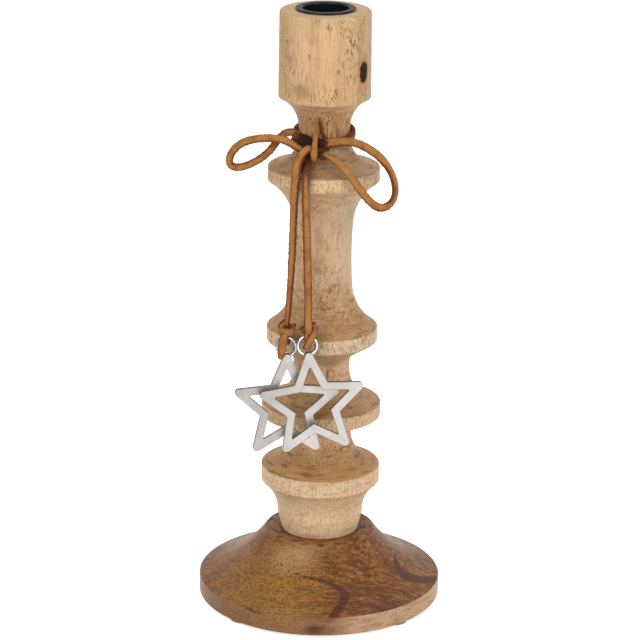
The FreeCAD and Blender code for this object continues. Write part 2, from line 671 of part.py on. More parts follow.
# The bow's knot: gathered lace in front of the neck, with one strap over it.
gather = middle_box("gathered_lace", "2 * Sizes.bow_half_width", "2 * Sizes.bow_half_depth",
                    "2 * Sizes.bow_half_height")
strap = middle_box("strap", "Sizes.strap_width",
                   "2 * Sizes.bow_half_depth + Sizes.strap_thickness",
                   "2 * (Sizes.bow_half_height + Sizes.strap_thickness)")
bind(strap, "Placement.Base.y", "-Sizes.bow_half_depth - Sizes.strap_thickness")
doc.recompute()
rounded = []
for block, cell in ((gather, "bow_rounding"), (strap, "strap_rounding")):
    soft = doc.addObject("Part::Fillet", f"soft_{block.Name}")
    soft.Base = block
    soft.Edges = [(number, size(cell), size(cell))
                  for number in range(1, len(block.Shape.Edges) + 1)]
    rounded.append(soft)
doc.recompute()
bow_knot = doc.addObject("Part::Fuse", "bow_knot")
bow_knot.Base, bow_knot.Tool = rounded
doc.recompute()
bow_knot.Placement = FreeCAD.Placement(
    FreeCAD.Vector(size("bow_x"), -size("bow_depth"), size("bow_height")),
    FreeCAD.Rotation())
doc.recompute()


def soft_node(label, shape):
    """Part of the lace as a feature of the document."""
    feature = doc.addObject("Part::Feature", label)
    feature.Shape = shape
    return feature


# Routes of the free lace, from the middle of the bow's knot, which each begins inside.
RIGHT_LOOP = (
    (0.4, -0.45, 2.2), (6.9, -1.45, 3.4), (14.4, -0.25, 4.2), (22, 3.15, 1.8), (29.4, 3.95, -2.9),
    (35.4, 2.35, -8.9), (38.8, 0.35, -16.4), (38.8, -1.45, -23.2), (35.4, -3.45, -27.4),
    (30.4, -6.25, -27.2), (25.8, -9.25, -22.6), (20.8, -11.25, -15.4), (15.4, -9.25, -8.4),
    (9.2, -3.05, -4), (2.8, -0.25, -2.2),
)
LEFT_LOOP = (
    (-1.6, -0.25, 1.2), (-8.2, -2.85, 2.2), (-15.2, -3.65, 4.6), (-23.2, -3.65, 5.4),
    (-30.8, -3.45, 3.4), (-37, -2.85, -0.6), (-40.6, -2.05, -5.6), (-37.6, -1.25, -9.2),
    (-32, -0.45, -8), (-25.8, 0.55, -4.6), (-20.4, 1.35, 0), (-15.6, 2.15, 4.6), (-10.2, 2.15, 6.6),
    (-4.8, 1.15, 3.2),
)
LEFT_TAIL = (
    (-1, 0.15, -1.4), (-6.4, -1.65, -1.8), (-9, -5.65, -5.4), (-9.2, -9.65, -11.4),
    (-9.5, -10.45, -19.4), (-9.8, -9.65, -31.8), (-10.4, -9.85, -51.8), (-11.2, -9.95, -67.8),
    (-12, -10.05, -78.8), (-12.7, -9.65, -86.4),
)
RIGHT_TAIL = (
    (-1.6, 0.35, -1.8), (-3, -1.05, -6.6), (-4, -6.85, -8.6), (-4.3, -12.25, -13.2),
    (-4, -13.25, -21.8), (-3.6, -12.25, -33.8), (-3, -12.65, -51.8), (-2.4, -13.05, -67.8),
    (-2.2, -13.35, -77.8), (-2.5, -13.45, -84.8),
)


def cut_clear(label, shape, knots):
    """Shape without what lies in the knots; its largest solid, checked for overlap."""
    for knot in knots:
        shape = shape.cut(knot)
    shape = max(shape.Solids, key=lambda solid: solid.Volume)
    for knot in knots:
        shared = shape.common(knot).Volume
        if shared > 0.01 or not shape.isValid():
            raise RuntimeError(f"{label}: {shared:.2f} mm3 left in a knot")
    return shape


def tail_knot(side):
    """Knot above a ring, the lace's eye round the ring's wire, and its free end."""
    label = f"{side}_tail_knot"
    thick, width, room = size("lace_thickness"), size("lace_width"), size("eye_room")
    outer = room + thick
    centre = room + size("knot_radius") - thick / 2
    knot = Part.makeSphere(size("knot_radius"), FreeCAD.Vector(0, 0, centre))
    eye = Part.makeCylinder(outer, width, FreeCAD.Vector(-width / 2, 0, 0),
                            FreeCAD.Vector(1, 0, 0))
    sides = Part.makeBox(width, 2 * outer, centre, FreeCAD.Vector(-width / 2, -outer, 0))
    way = Part.makeCylinder(room, 4 * width, FreeCAD.Vector(-2 * width, 0, 0),
                            FreeCAD.Vector(1, 0, 0))
    lace = eye.fuse(sides).common(Part.makeBox(
        width, 2 * outer, outer + centre, FreeCAD.Vector(-width / 2, -outer, -outer)))
    if side == "left":
        ahead = size("loop_room") + size("star_thickness") + size("lace_gap") + thick / 2
        left = -width / 2 - size("left_end_shift")
        length = size("left_end_length")
        end = Part.makeBox(width, thick, length, FreeCAD.Vector(
            left, -ahead - thick / 2, centre + thick / 2 - length))
        bridge = Part.makeBox(width, ahead, thick, FreeCAD.Vector(
            left, -ahead, centre - thick / 2))
        end = end.fuse(bridge)
    else:
        length = size("right_end_length") - outer + thick / 2
        end = Part.makeBox(width, thick, length, FreeCAD.Vector(
            -width / 2 + thick / 2, -thick / 2, -size("right_end_length")))
    body = knot.fuse([lace, end]).cut(way).removeSplitter()
    top = FreeCAD.Placement(FreeCAD.Vector(0, 0, size("ring_radius")), FreeCAD.Rotation())
    node = soft_node(label, body)
    node.Placement = FRAMES[side].multiply(top)
    return node


tail_knots = {side: tail_knot(side) for side in ("left", "right")}

# The lace round the neck, open where the bow's knot lies over it.
wrap_tilt = FreeCAD.Rotation(FreeCAD.Vector(1, 0, 0), size("wrap_tilt_angle"))
around = Part.makeTorus(size("wrap_radius"), size("lace_diameter") / 2,
                        FreeCAD.Vector(0, 0, 0), FreeCAD.Vector(0, 0, 1))
around.Placement = FreeCAD.Placement(FreeCAD.Vector(0, 0, size("wrap_height")), wrap_tilt)
neck_wrap = soft_node("neck_wrap", cut_clear("neck_wrap", around, [bow_knot.Shape]))

ROUTES = {
    "right_loop": RIGHT_LOOP,
    "left_loop": LEFT_LOOP,
    "left_tail": LEFT_TAIL,
    "right_tail": RIGHT_TAIL,
}
laces = {}
for label, route in ROUTES.items():
    knots = [bow_knot.Shape]
    if label.endswith("_tail"):
        knots.append(tail_knots[label.split("_")[0]].Shape)
    laces[label] = soft_node(label, cut_clear(label, lace_tube(label, route), knots))

NODES = [base, column, candle_cup, base_screw, felt_pads, neck_wrap, bow_knot]
NODES += list(laces.values()) + list(tail_knots.values())
NODES += list(rings.values()) + list(stars.values())

doc.recompute()
for item in doc.Objects:
    if "Invalid" in item.State or "Error" in item.State:
        raise RuntimeError(f"{item.Label}: {item.State}")
for node in NODES:
    if node.Shape.isNull() or not node.Shape.isValid() or not node.Shape.Solids:
        raise RuntimeError(f"{node.Label}: no valid solid")

os.makedirs("parts", exist_ok=True)
for node in NODES:
    node.Shape.exportStep(f"parts/{node.Label}.step")
    print(f"{node.Label}: {len(node.Shape.Solids)} solid(s), {node.Shape.Volume:.1f} mm3")
for side, frame in FRAMES.items():
    facing = frame.Rotation.multVec(FreeCAD.Vector(0, -1, 0))
    across = frame.Rotation.multVec(FreeCAD.Vector(1, 0, 0))
    top = frame.multVec(FreeCAD.Vector(0, 0, size("ring_radius")))
    print(f"{side} ring: middle {frame.Base}, top {top}, facing {facing}, across {across}")
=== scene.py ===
"""Looks of a turned wooden candle holder with a suede lace bow and two hanging stars.

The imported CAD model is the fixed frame. Its wood, cup, rings and stars get their finishes here, and
the soft lace is modelled anew along the routes of its CAD tubes. Metres, +Z up, front at -Y.
"""

import logging
import math
import random
from dataclasses import dataclass
from enum import Enum
from typing import Iterable, Sequence

import bpy
from mathutils import Matrix, Vector

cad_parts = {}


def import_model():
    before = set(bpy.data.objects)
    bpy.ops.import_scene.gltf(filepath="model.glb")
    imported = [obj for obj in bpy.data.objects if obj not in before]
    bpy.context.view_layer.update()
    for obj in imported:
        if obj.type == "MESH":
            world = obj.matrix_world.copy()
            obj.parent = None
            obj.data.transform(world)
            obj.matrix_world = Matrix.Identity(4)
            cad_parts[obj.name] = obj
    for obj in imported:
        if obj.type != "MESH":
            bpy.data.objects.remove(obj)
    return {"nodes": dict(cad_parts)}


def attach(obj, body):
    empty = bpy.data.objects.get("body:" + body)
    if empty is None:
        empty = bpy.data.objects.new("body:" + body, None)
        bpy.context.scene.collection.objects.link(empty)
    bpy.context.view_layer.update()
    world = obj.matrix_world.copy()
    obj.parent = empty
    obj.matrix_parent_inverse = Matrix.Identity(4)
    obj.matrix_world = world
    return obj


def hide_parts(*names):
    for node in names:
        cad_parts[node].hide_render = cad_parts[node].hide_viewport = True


LOG = logging.getLogger("candle_holder")
MM = 0.001
UNTURNED = (0.0, 0.0, 0.0)

Socket = bpy.types.NodeSocket
Point = tuple[float, float, float]
Colour = tuple[float, float, float]
# The middle and the three half-widths of an egg-shaped spot, in millimetres.
Spot = tuple[Point, Point]
# The middle line of a streak and half its width at each point, in millimetres.
Streak = tuple[Sequence[Point], Sequence[float]]
# Where a change starts and ends, in metres up the object or out from its axis.
Span = tuple[float, float]


class Facing(Enum):
    """Which way the flat of the lace looks, for the directions used more than once."""

    FRONT = (0.0, -1.0, 0.0)
    BACK = (0.0, 1.0, 0.0)
    LEFT = (-1.0, -0.6, 0.0)
    RIGHT = (1.0, -0.6, 0.0)
    LEAN = (0.0, -1.0, 0.55)
    OVER = (0.0, -0.5, 1.0)


FRONT, BACK, LEFT, RIGHT, LEAN, OVER = (facing.value for facing in Facing)


class Shader:
    """A material's node tree, written as short calls.

    Its coat is the colour so far, and each call of lay puts another colour over a share of it.
    """

    def __init__(self, name: str) -> None:
        """Start a material with nothing but its shader, its output and the coordinates.

        Args:
            name: the material's name.
        """
        self.material = bpy.data.materials.new(name)
        self.material.use_nodes = True
        self.tree = self.material.node_tree
        self.surface = self.tree.nodes["Principled BSDF"]
        coordinates = self.add("TexCoord")
        self.spot = coordinates.outputs["Object"]
        self.normal = coordinates.outputs["Normal"]
        self.coat: object = (0.0, 0.0, 0.0)

    def add(self, kind: str, settings: dict | None = None, **inputs: object) -> bpy.types.Node:
        """Add a node, set its properties and fill or link its inputs.

        Args:
            kind: the node type without its ShaderNode prefix.
            settings: properties of the node.
            inputs: values or sockets by input name, with _ for a space.

        Returns:
            The node.
        """
        node = self.tree.nodes.new(f"ShaderNode{kind}")
        for key, value in (settings or {}).items():
            setattr(node, key, value)
        for key, value in inputs.items():
            self.fill(node.inputs[key.replace("_", " ")], value)
        return node

    def fill(self, socket: Socket, value: object) -> None:
        """Link a socket to an input, or set the input's value."""
        if isinstance(value, bpy.types.NodeSocket):
            self.tree.links.new(value, socket)
        else:
            socket.default_value = value

    def surface_set(self, **inputs: object) -> None:
        """Fill inputs of the shader by name, with _ for a space."""
        for key, value in inputs.items():
            self.fill(self.surface.inputs[key.replace("_", " ")], value)

    def math(self, operation: str, *values: object) -> Socket:
        """One sum or other operation on numbers."""
        node = self.add("Math", {"operation": operation})
        for socket, value in zip(node.inputs, values):
            self.fill(socket, value)
        return node.outputs[0]

    def vector(self, operation: str, *values: object) -> bpy.types.Node:
        """One operation on vectors."""
        node = self.add("VectorMath", {"operation": operation})
        for socket, value in zip(node.inputs, values):
            self.fill(socket, value)
        return node

    def product(self, *shares: object) -> object:
        """The product of some shares."""
        result = shares[0]
        for share in shares[1:]:
            result = self.math("MULTIPLY", result, share)
        return result

    def most(self, shares: Iterable[object]) -> object:
        """The greatest of some shares, none of which is below nothing."""
        result: object = 0.0
        for share in shares:
            result = self.math("MAXIMUM", result, share)
        return result

    def ramp(self, value: object, low: float, high: float, start: float = 0.0,
             end: float = 1.0) -> Socket:
        """Smooth step of a number from low to high, given from start to end."""
        node = self.add("MapRange", {"interpolation_type": "SMOOTHSTEP"}, Value=value,
                        From_Min=low, From_Max=high, To_Min=start, To_Max=end)
        return node.outputs[0]

    def mix(self, share: object, first: object, second: object) -> Socket:
        """Mix two colours by a share."""
        node = self.add("Mix", {"data_type": "RGBA"})
        for number, value in ((0, share), (6, first), (7, second)):
            if isinstance(value, tuple) and len(value) == 3:
                value = (*value, 1.0)
            self.fill(node.inputs[number], value)
        return node.outputs[2]

    def lay(self, tint: object, *shares: object) -> None:
        """Lay a colour over the coat, by the product of some shares."""
        self.coat = self.mix(self.product(*shares), self.coat, tint)

    def stretched(self, scale: Point, turn: Point = UNTURNED) -> Socket:
        """Object coordinates times a scale, then turned."""
        return self.add("Mapping", Vector=self.spot, Scale=scale, Rotation=turn).outputs[0]

    def noise(self, where: Socket, detail: float, roughness: float) -> Socket:
        """Noise from 0 to 1 at the place given."""
        node = self.add("TexNoise", Vector=where, Scale=1.0, Detail=detail, Roughness=roughness)
        return node.outputs["Fac"]

    def grain(self, scale: Point, turn: Point = UNTURNED, detail: float = 3.0,
              roughness: float = 0.55) -> Socket:
        """Noise from 0 to 1 over the object, finer along an axis with a larger scale."""
        return self.noise(self.stretched(scale, turn), detail, roughness)

    def axes(self, where: Socket) -> list[Socket]:
        """The three numbers of a vector."""
        return list(self.add("SeparateXYZ", Vector=where).outputs)

    def near(self, spot: Spot, soft: float = 0.5, where: Socket | None = None) -> Socket:
        """One inside an egg-shaped spot on the object, falling to nothing outside it.

        Args:
            spot: its middle and half-widths.
            soft: share of the half-widths over which it fades.
            where: the place, or none for plain object coordinates.

        Returns:
            The share, from 0 to 1.
        """
        centre, radii = (tuple(value * MM for value in values) for values in spot)
        away = self.vector("SUBTRACT", where or self.spot, centre)
        scaled = self.vector("DIVIDE", away.outputs[0], radii)
        length = self.vector("LENGTH", scaled.outputs[0])
        return self.ramp(length.outputs["Value"], 1.0 - soft, 1.0 + soft, 1.0, 0.0)

    def wobble(self, scale: float, reach: float) -> Socket:
        """Object coordinates pushed about by noise, for uneven borders."""
        noise = self.add("TexNoise", Vector=self.spot, Scale=scale, Detail=2.0)
        centred = self.vector("SUBTRACT", noise.outputs["Color"], (0.5, 0.5, 0.5))
        pushed = self.vector("MULTIPLY_ADD", centred.outputs[0], (reach, reach, reach), self.spot)
        return pushed.outputs[0]

    def stroke(self, where: Socket, streak: Streak, soft: float) -> Socket:
        """One on a streak, falling to nothing beside it.

        Args:
            where: the place.
            streak: its middle line and half-widths.
            soft: half the width of its soft border, in millimetres.

        Returns:
            The share, from 0 to 1.
        """
        points, widths = streak
        share: object = 0.0
        for start, end, near, far in zip(points, points[1:], widths, widths[1:]):
            first = Vector(start) * MM
            run = Vector(end) * MM - first
            away = self.vector("SUBTRACT", where, tuple(first))
            along = self.vector("DOT_PRODUCT", away.outputs[0], tuple(run / run.length_squared))
            place = self.ramp(along.outputs["Value"], 0.0, 1.0)
            foot = self.vector("SCALE", tuple(run))
            self.fill(foot.inputs["Scale"], place)
            beside = self.vector("DISTANCE", away.outputs[0], foot.outputs[0])
            width = self.math("MULTIPLY_ADD", place, (far - near) * MM, near * MM)
            over = self.math("SUBTRACT", beside.outputs["Value"], width)
            share = self.math("MAXIMUM", share,
                              self.ramp(over, -soft * MM, soft * MM, 1.0, 0.0))
        return share

    def bump(self, height: object, distance: float, strength: float,
             under: Socket | None = None) -> Socket:
        """Bumped normal from a height, over another normal if one is given."""
        node = self.add("Bump", Strength=strength, Distance=distance, Height=height)
        if under is not None:
            self.fill(node.inputs["Normal"], under)
        return node.outputs[0]


class WoodShader(Shader):
    """A shader for turned wood, which knows its fibre and where on the turning a place lies."""

    def __init__(self, name: str, fibre: Point, turn: Point = UNTURNED) -> None:
        """Start the material with its fibre.

        Args:
            name: the material's name.
            fibre: scale of the fibre's noise.
            turn: how the fibre is turned, in radians.
        """
        super().__init__(name)
        self.east, _, self.height = self.axes(self.spot)
        self.up = self.axes(self.normal)[2]
        self.fibre = self.grain(fibre, turn, 4.0, 0.7)

    def radius(self) -> Socket:
        """Distance from the upright axis, in metres."""
        level = self.vector("MULTIPLY", self.spot, (1.0, 1.0, 0.0))
        return self.vector("LENGTH", level.outputs[0]).outputs["Value"]

    def band(self, rise: Span, fall: Span, strength: float = 1.0) -> Socket:
        """A share that rises with the height, stays at its strength and falls again."""
        return self.product(self.ramp(self.height, *rise),
                            self.ramp(self.height, *fall, strength, 0.0))

    def lathe(self, fine: float, around: float) -> Socket:
        """Noise drawn out round the turning's axis, as a lathe leaves it.

        Args:
            fine: how fast it changes along the profile, per metre.
            around: how fast it changes round the axis.

        Returns:
            The noise, from 0 to 1.
        """
        east, north, height = self.axes(self.spot)
        radius = self.radius()
        place = self.add("CombineXYZ",
                         X=self.product(self.math("DIVIDE", east, radius), around),
                         Y=self.product(self.math("DIVIDE", north, radius), around),
                         Z=self.product(self.math("SUBTRACT", height, radius), fine))
        return self.noise(place.outputs[0], 4.0, 0.65)

    def finish(self, roughness: float, normal: Socket, gloss: object) -> bpy.types.Material:
        """Join the coat and the other values to the surface.

        Args:
            roughness: the roughness that the fibre makes uneven.
            normal: the bumped normal.
            gloss: level of the gloss.

        Returns:
            The material.
        """
        rough = self.ramp(self.fibre, 0.2, 0.8, roughness - 0.08, roughness + 0.12)
        self.surface_set(Base_Color=self.coat, Roughness=rough, Normal=normal,
                         Specular_IOR_Level=gloss)
        return self.material


@dataclass(frozen=True)
class ColumnWood:
    """Pale mango wood of the turned column, browner where a cove looks up, as painted shade.

    Scars are lines in millimetres, with half the widths scar_widths at their ends. Smudges are
    given in millimetres by how far right and how high they are, half their width and half their
    height. All smudges share smudge_depth, which is their place in depth and half their depth.
    """

    pale: Colour = (0.73, 0.49, 0.268)
    tan: Colour = (0.53, 0.315, 0.135)
    brown: Colour = (0.405, 0.228, 0.096)
    cream: Colour = (0.86, 0.63, 0.41)
    heel: Colour = (0.5, 0.27, 0.135)
    shelf: Colour = (0.47, 0.25, 0.085)
    shadowed: Colour = (0.33, 0.235, 0.16)
    waist: Colour = (0.53, 0.24, 0.08)
    thread: Colour = (0.165, 0.06, 0.018)
    dirt: Colour = (0.195, 0.092, 0.032)
    lid: Colour = (0.47, 0.315, 0.175)
    shaft_highlight: Colour = (0.64, 0.475, 0.345)
    edge_highlight: Colour = (0.78, 0.63, 0.48)
    shaded: Colour = (0.44, 0.285, 0.15)
    smudge: Colour = (0.25, 0.125, 0.036)
    pore: Colour = (0.17, 0.08, 0.03)
    dot: Colour = (0.26, 0.135, 0.05)
    patch: Colour = (0.33, 0.145, 0.05)
    reddish: Colour = (0.36, 0.09, 0.022)
    stain: Colour = (0.13, 0.025, 0.008)
    halo: Colour = (0.45, 0.2, 0.075)
    knot: Colour = (0.036, 0.012, 0.008)
    roughness: float = 0.52
    gloss: float = 0.3
    heel_top: Span = (0.04, 0.072)
    foot_top: Span = (0.06, 0.1)
    amber_top: Span = (0.085, 0.11)
    smooth_top: Span = (0.0715, 0.076)
    highlight_band: tuple[Span, Span] = ((0.12, 0.15), (0.17, 0.19))
    shaft_band: tuple[Span, Span] = ((0.16, 0.172), (0.205, 0.218))
    neck_band: tuple[Span, Span] = ((0.233, 0.235), (0.246, 0.257))
    thread_band: tuple[Span, Span] = ((0.2335, 0.236), (0.247, 0.257))
    dirt_top: Span = (0.252, 0.259)
    block_foot: Span = (0.256, 0.26)
    lid_foot: Span = (0.296, 0.2975)
    shelf_top: Span = (0.296, 0.2985)
    edge_radius: Span = (0.0255, 0.0268)
    shadow_spots: Sequence[Spot] = (((13, -18, 219), (17, 17, 10)), ((18, -10, 118), (20, 24, 12)))
    pitted_spots: Sequence[Spot] = (((13.5, -18, 287), (5.2, 8, 9)), ((4, -22, 262.5), (6, 6, 4)))
    patch_spot: Spot = ((-11.3, -19.3, 264), (4.6, 4, 3.6))
    knot_spot: Spot = ((18.2, -12.2, 272.4), (2.6, 4, 5.4))
    halo_spot: Spot = ((18.2, -12.2, 272.2), (4, 6, 8.2))
    stain_line: Streak = (((-2.6, -13.8, 249.6), (-1.9, -12.8, 246.0), (-1.3, -12.5, 242.0),
                           (0.6, -12.5, 239.4)), (0.6, 1.1, 1.0, 1.4))
    reddish_line: Streak = (((-4.6, -13.4, 248.0), (-3.4, -12.6, 243.0)), (0.8, 0.9))
    scar_widths: Sequence[float] = (0.48, 0.26)
    scars: Sequence[Sequence[Point]] = (
        ((-4.6, -22.2, 298.6), (-4.2, -22.2, 296.0)), ((-7.6, -20.9, 282.0), (-7.2, -21.0, 279.6)),
        ((12.1, -18.6, 288.4), (12.6, -18.2, 286.2)), ((13.1, -17.9, 286.6), (13.5, -17.7, 284.8)),
        ((10.6, -19.4, 284.6), (10.9, -19.2, 282.6)), ((11.6, -18.8, 293.6), (12.4, -18.3, 292.6)),
        ((13.8, -17.2, 288.6), (14.3, -16.9, 286.8)), ((14.9, -16.4, 286.0), (15.4, -16.0, 284.4)),
        ((6.4, -21.2, 274.8), (6.7, -21.1, 272.8)), ((1.1, -22.1, 296.0), (1.4, -22.1, 294.4)),
        ((4.4, -21.9, 262.9), (4.8, -21.8, 261.3)), ((3.4, -22.0, 261.6), (3.7, -22.0, 260.4)),
        ((5.6, -21.6, 264.0), (5.8, -21.5, 262.6)), ((-11.9, -18.9, 266.4), (-11.6, -19.1, 265.2)),
    )
    smudge_depth: tuple[float, float] = (-18, 16)
    smudges: Sequence[tuple[float, float, float, float]] = (
        (6.1, 164.3, 4, 4.5), (11.2, 152.1, 5, 6), (-0.6, 158.6, 3.5, 4), (-14.7, 156.9, 4.5, 6),
        (6.4, 145.4, 6, 3), (-6.7, 139.1, 6, 3), (-2.2, 175.4, 6, 3),
    )

    def material(self) -> bpy.types.Material:
        """Build the finish.

        Returns:
            The material.
        """
        s = WoodShader("column_wood", (560, 560, 22))
        edge = self.lay_wood(s)
        marks, shaft = self.lay_dirt(s, edge)
        eye = self.lay_flaws(s, edge, shaft)
        normal = s.bump(s.fibre, 0.00022, 0.6)
        normal = s.bump(marks, 0.0001, 0.4, normal)
        return s.finish(self.roughness, normal, s.math("MULTIPLY_ADD", eye, -0.25, self.gloss))

    def lay_wood(self, s: WoodShader) -> Socket:
        """Lay the wood's colours, from the foot to the reddish neck, with painted shade on its left,
        in its coves and on the neck, and painted shadows of the lace and stars.

        Args:
            s: the shader.

        Returns:
            A share that is one on the upright edges of the collars and the block.
        """
        pith = s.stretched((150, 150, 6), (0.05, 0.02, 0.0))
        rings = s.add("TexWave", {"wave_type": "RINGS", "rings_direction": "Z"}, Vector=pith,
                      Scale=0.55, Distortion=9.0, Detail=3.0, Detail_Scale=0.6).outputs["Fac"]
        flow = s.grain((75, 75, 12), detail=2.0)
        blotch = s.grain((48, 48, 34))
        tone = s.math("MULTIPLY_ADD", rings, 0.22, s.product(s.fibre, 0.75))
        tone = s.math("MULTIPLY_ADD", flow, 0.3, tone)
        s.coat = s.mix(s.ramp(tone, 0.42, 0.88), self.pale, self.tan)
        s.lay(self.tan, s.ramp(blotch, 0.5, 0.72, 0.0, 0.55))
        # Painted shade: the left side is laid darker tan.
        s.lay(self.tan, s.ramp(s.east, -0.026, -0.006, 0.62, 0.0))
        edge = s.product(s.ramp(s.radius(), *self.edge_radius), s.ramp(s.up, 0.2, 0.5, 1.0, 0.0))
        s.lay(self.cream, edge, 0.6)
        s.lay(self.cream, s.ramp(s.height, *self.foot_top, 0.75, 0.0),
              s.ramp(s.up, 0.0, 0.4, 1.0, 0.0))
        heel = s.grain((110, 110, 420), roughness=0.65)
        s.lay(self.heel, s.ramp(heel, 0.5, 0.72), s.ramp(s.height, *self.heel_top, 0.75, 0.0))
        cloud = s.grain((130, 130, 90), detail=4.0, roughness=0.65)
        # Painted shade: coves and collar tops that look up are laid browner.
        shelf = s.product(s.ramp(s.up, 0.1, 0.7), s.ramp(s.height, *self.shelf_top, 1.0, 0.0),
                          s.ramp(cloud, 0.3, 0.66, 0.55, 1.0))
        s.lay(s.mix(s.ramp(s.height, *self.amber_top), self.shelf, self.brown), shelf)
        # Painted shadows: grey patches on the collar tops where the lace and a star cast shadow.
        shadowed = s.most(s.near(spot) for spot in self.shadow_spots)
        s.lay(self.shadowed, shadowed, s.ramp(s.up, 0.2, 0.6), 0.45)
        # The neck under the block is laid browner: partly the wood's colour, partly painted shade
        # under the block.
        s.lay(self.waist, s.band(*self.neck_band), s.ramp(s.fibre, 0.32, 0.6, 0.45, 1.0))
        thread = s.grain((1300, 1300, 75), (0.1, 0.0, 0.0), 2.5)
        s.lay(self.thread, s.ramp(thread, 0.5, 0.6), s.band(*self.thread_band, 0.85))
        return edge

    def lay_dirt(self, s: WoodShader, edge: Socket) -> tuple[Socket, Socket]:
        """Lay the dirt in the lathe's marks, the painted highlights and the block's shaded side.

        Args:
            s: the shader.
            edge: a share that is one on the upright edges.

        Returns:
            The lathe's marks, and a share that is one on the shaft.
        """
        s.lay(self.dirt, s.ramp(s.lathe(330.0, 2.2), 0.5, 0.68),
              s.ramp(s.up, -0.25, 0.45, 0.16, 0.9), s.ramp(s.height, *self.dirt_top, 1.0, 0.35))
        s.lay(self.dirt, s.ramp(s.lathe(1500.0, 5.0), 0.55, 0.7),
              s.ramp(s.up, 0.1, 0.5, 0.0, 0.45))
        marks = s.grain((30, 30, 2400))
        s.lay(self.brown, s.ramp(marks, 0.48, 0.72), s.ramp(s.up, 0.0, 0.5, 0.06, 0.6))
        grain = s.grain((1700, 1700, 60), roughness=0.7)
        s.lay(self.tan, s.ramp(grain, 0.46, 0.62, 0.0, 0.5), s.ramp(s.up, 0.1, 0.4, 1.0, 0.0))
        s.lay(self.lid, s.ramp(s.up, 0.5, 0.8), s.ramp(s.height, *self.lid_foot), 0.65)
        shaft = s.band(*self.shaft_band)
        # Painted highlights: a pale sheen on the right of the shaft and on the collars' upright
        # sides.
        s.lay(self.shaft_highlight, shaft, s.ramp(s.east, -0.008, 0.013, 0.08, 0.55))
        s.lay(self.edge_highlight, edge, s.band(*self.highlight_band, 0.45))
        s.lay(self.shaded, s.ramp(s.east, 0.012, 0.025, 0.0, 0.5),
              s.ramp(s.height, *self.block_foot))
        return marks, shaft

    def lay_flaws(self, s: WoodShader, edge: Socket, shaft: Socket) -> Socket:
        """Lay the smudges, pores, scars, the red line of the neck and the knot.

        Args:
            s: the shader.
            edge: a share that is one on the upright edges.
            shaft: a share that is one on the shaft.

        Returns:
            A share that is one in the knot.
        """
        rubbed = s.grain((520, 520, 420), detail=4.0, roughness=0.75)
        middle, deep = self.smudge_depth
        smudge = s.most(s.near(((east, middle, height), (wide, deep, tall)), 0.9)
                        for east, height, wide, tall in self.smudges)
        s.lay(self.smudge, smudge, s.ramp(rubbed, 0.44, 0.6, 0.04, 0.85))
        plain = s.ramp(s.height, *self.smooth_top, 0.3, 1.0)
        crowd = s.grain((62, 62, 42), detail=2.0)
        strokes = s.grain((1150, 1150, 210), detail=2.5, roughness=0.65)
        s.lay(self.pore, s.ramp(strokes, 0.52, 0.66), s.ramp(crowd, 0.3, 0.6), plain, 0.6)
        grey = s.grain((90, 90, 60), detail=4.0, roughness=0.7)
        s.lay(self.brown, s.ramp(grey, 0.5, 0.72, 0.0, 0.34))
        dots = s.grain((1900, 1900, 800), detail=2.0, roughness=0.6)
        s.lay(self.dot, s.ramp(dots, 0.5, 0.64), edge, 0.6)
        flecks = s.grain((1000, 1000, 420), detail=2.0)
        herd = s.math("MAXIMUM", s.ramp(crowd, 0.44, 0.6, 0.0, 0.8),
                      s.most(s.near(spot, 0.7) for spot in self.pitted_spots))
        herd = s.math("MAXIMUM", herd, s.product(shaft, s.ramp(crowd, 0.36, 0.56, 0.12, 0.75)))
        s.lay(self.pore, s.ramp(flecks, 0.585, 0.64), herd, plain, 0.85)
        rough_place = s.wobble(900.0, 0.0011)
        scar = s.most(s.stroke(rough_place, (line, self.scar_widths), 0.3) for line in self.scars)
        s.lay(self.pore, scar, 0.85)
        s.lay(self.patch, s.near(self.patch_spot, 0.8, rough_place),
              s.ramp(s.fibre, 0.3, 0.62, 0.85, 0.45))
        uneven = s.wobble(420.0, 0.0022)
        s.lay(self.reddish, s.stroke(uneven, self.reddish_line, 0.8), 0.75)
        s.lay(self.stain, s.stroke(uneven, self.stain_line, 0.5), 0.95)
        eye = s.near(self.knot_spot, 0.16, uneven)
        s.lay(self.halo, s.near(self.halo_spot, 0.55), 0.55)
        s.lay(self.knot, eye)
        return eye


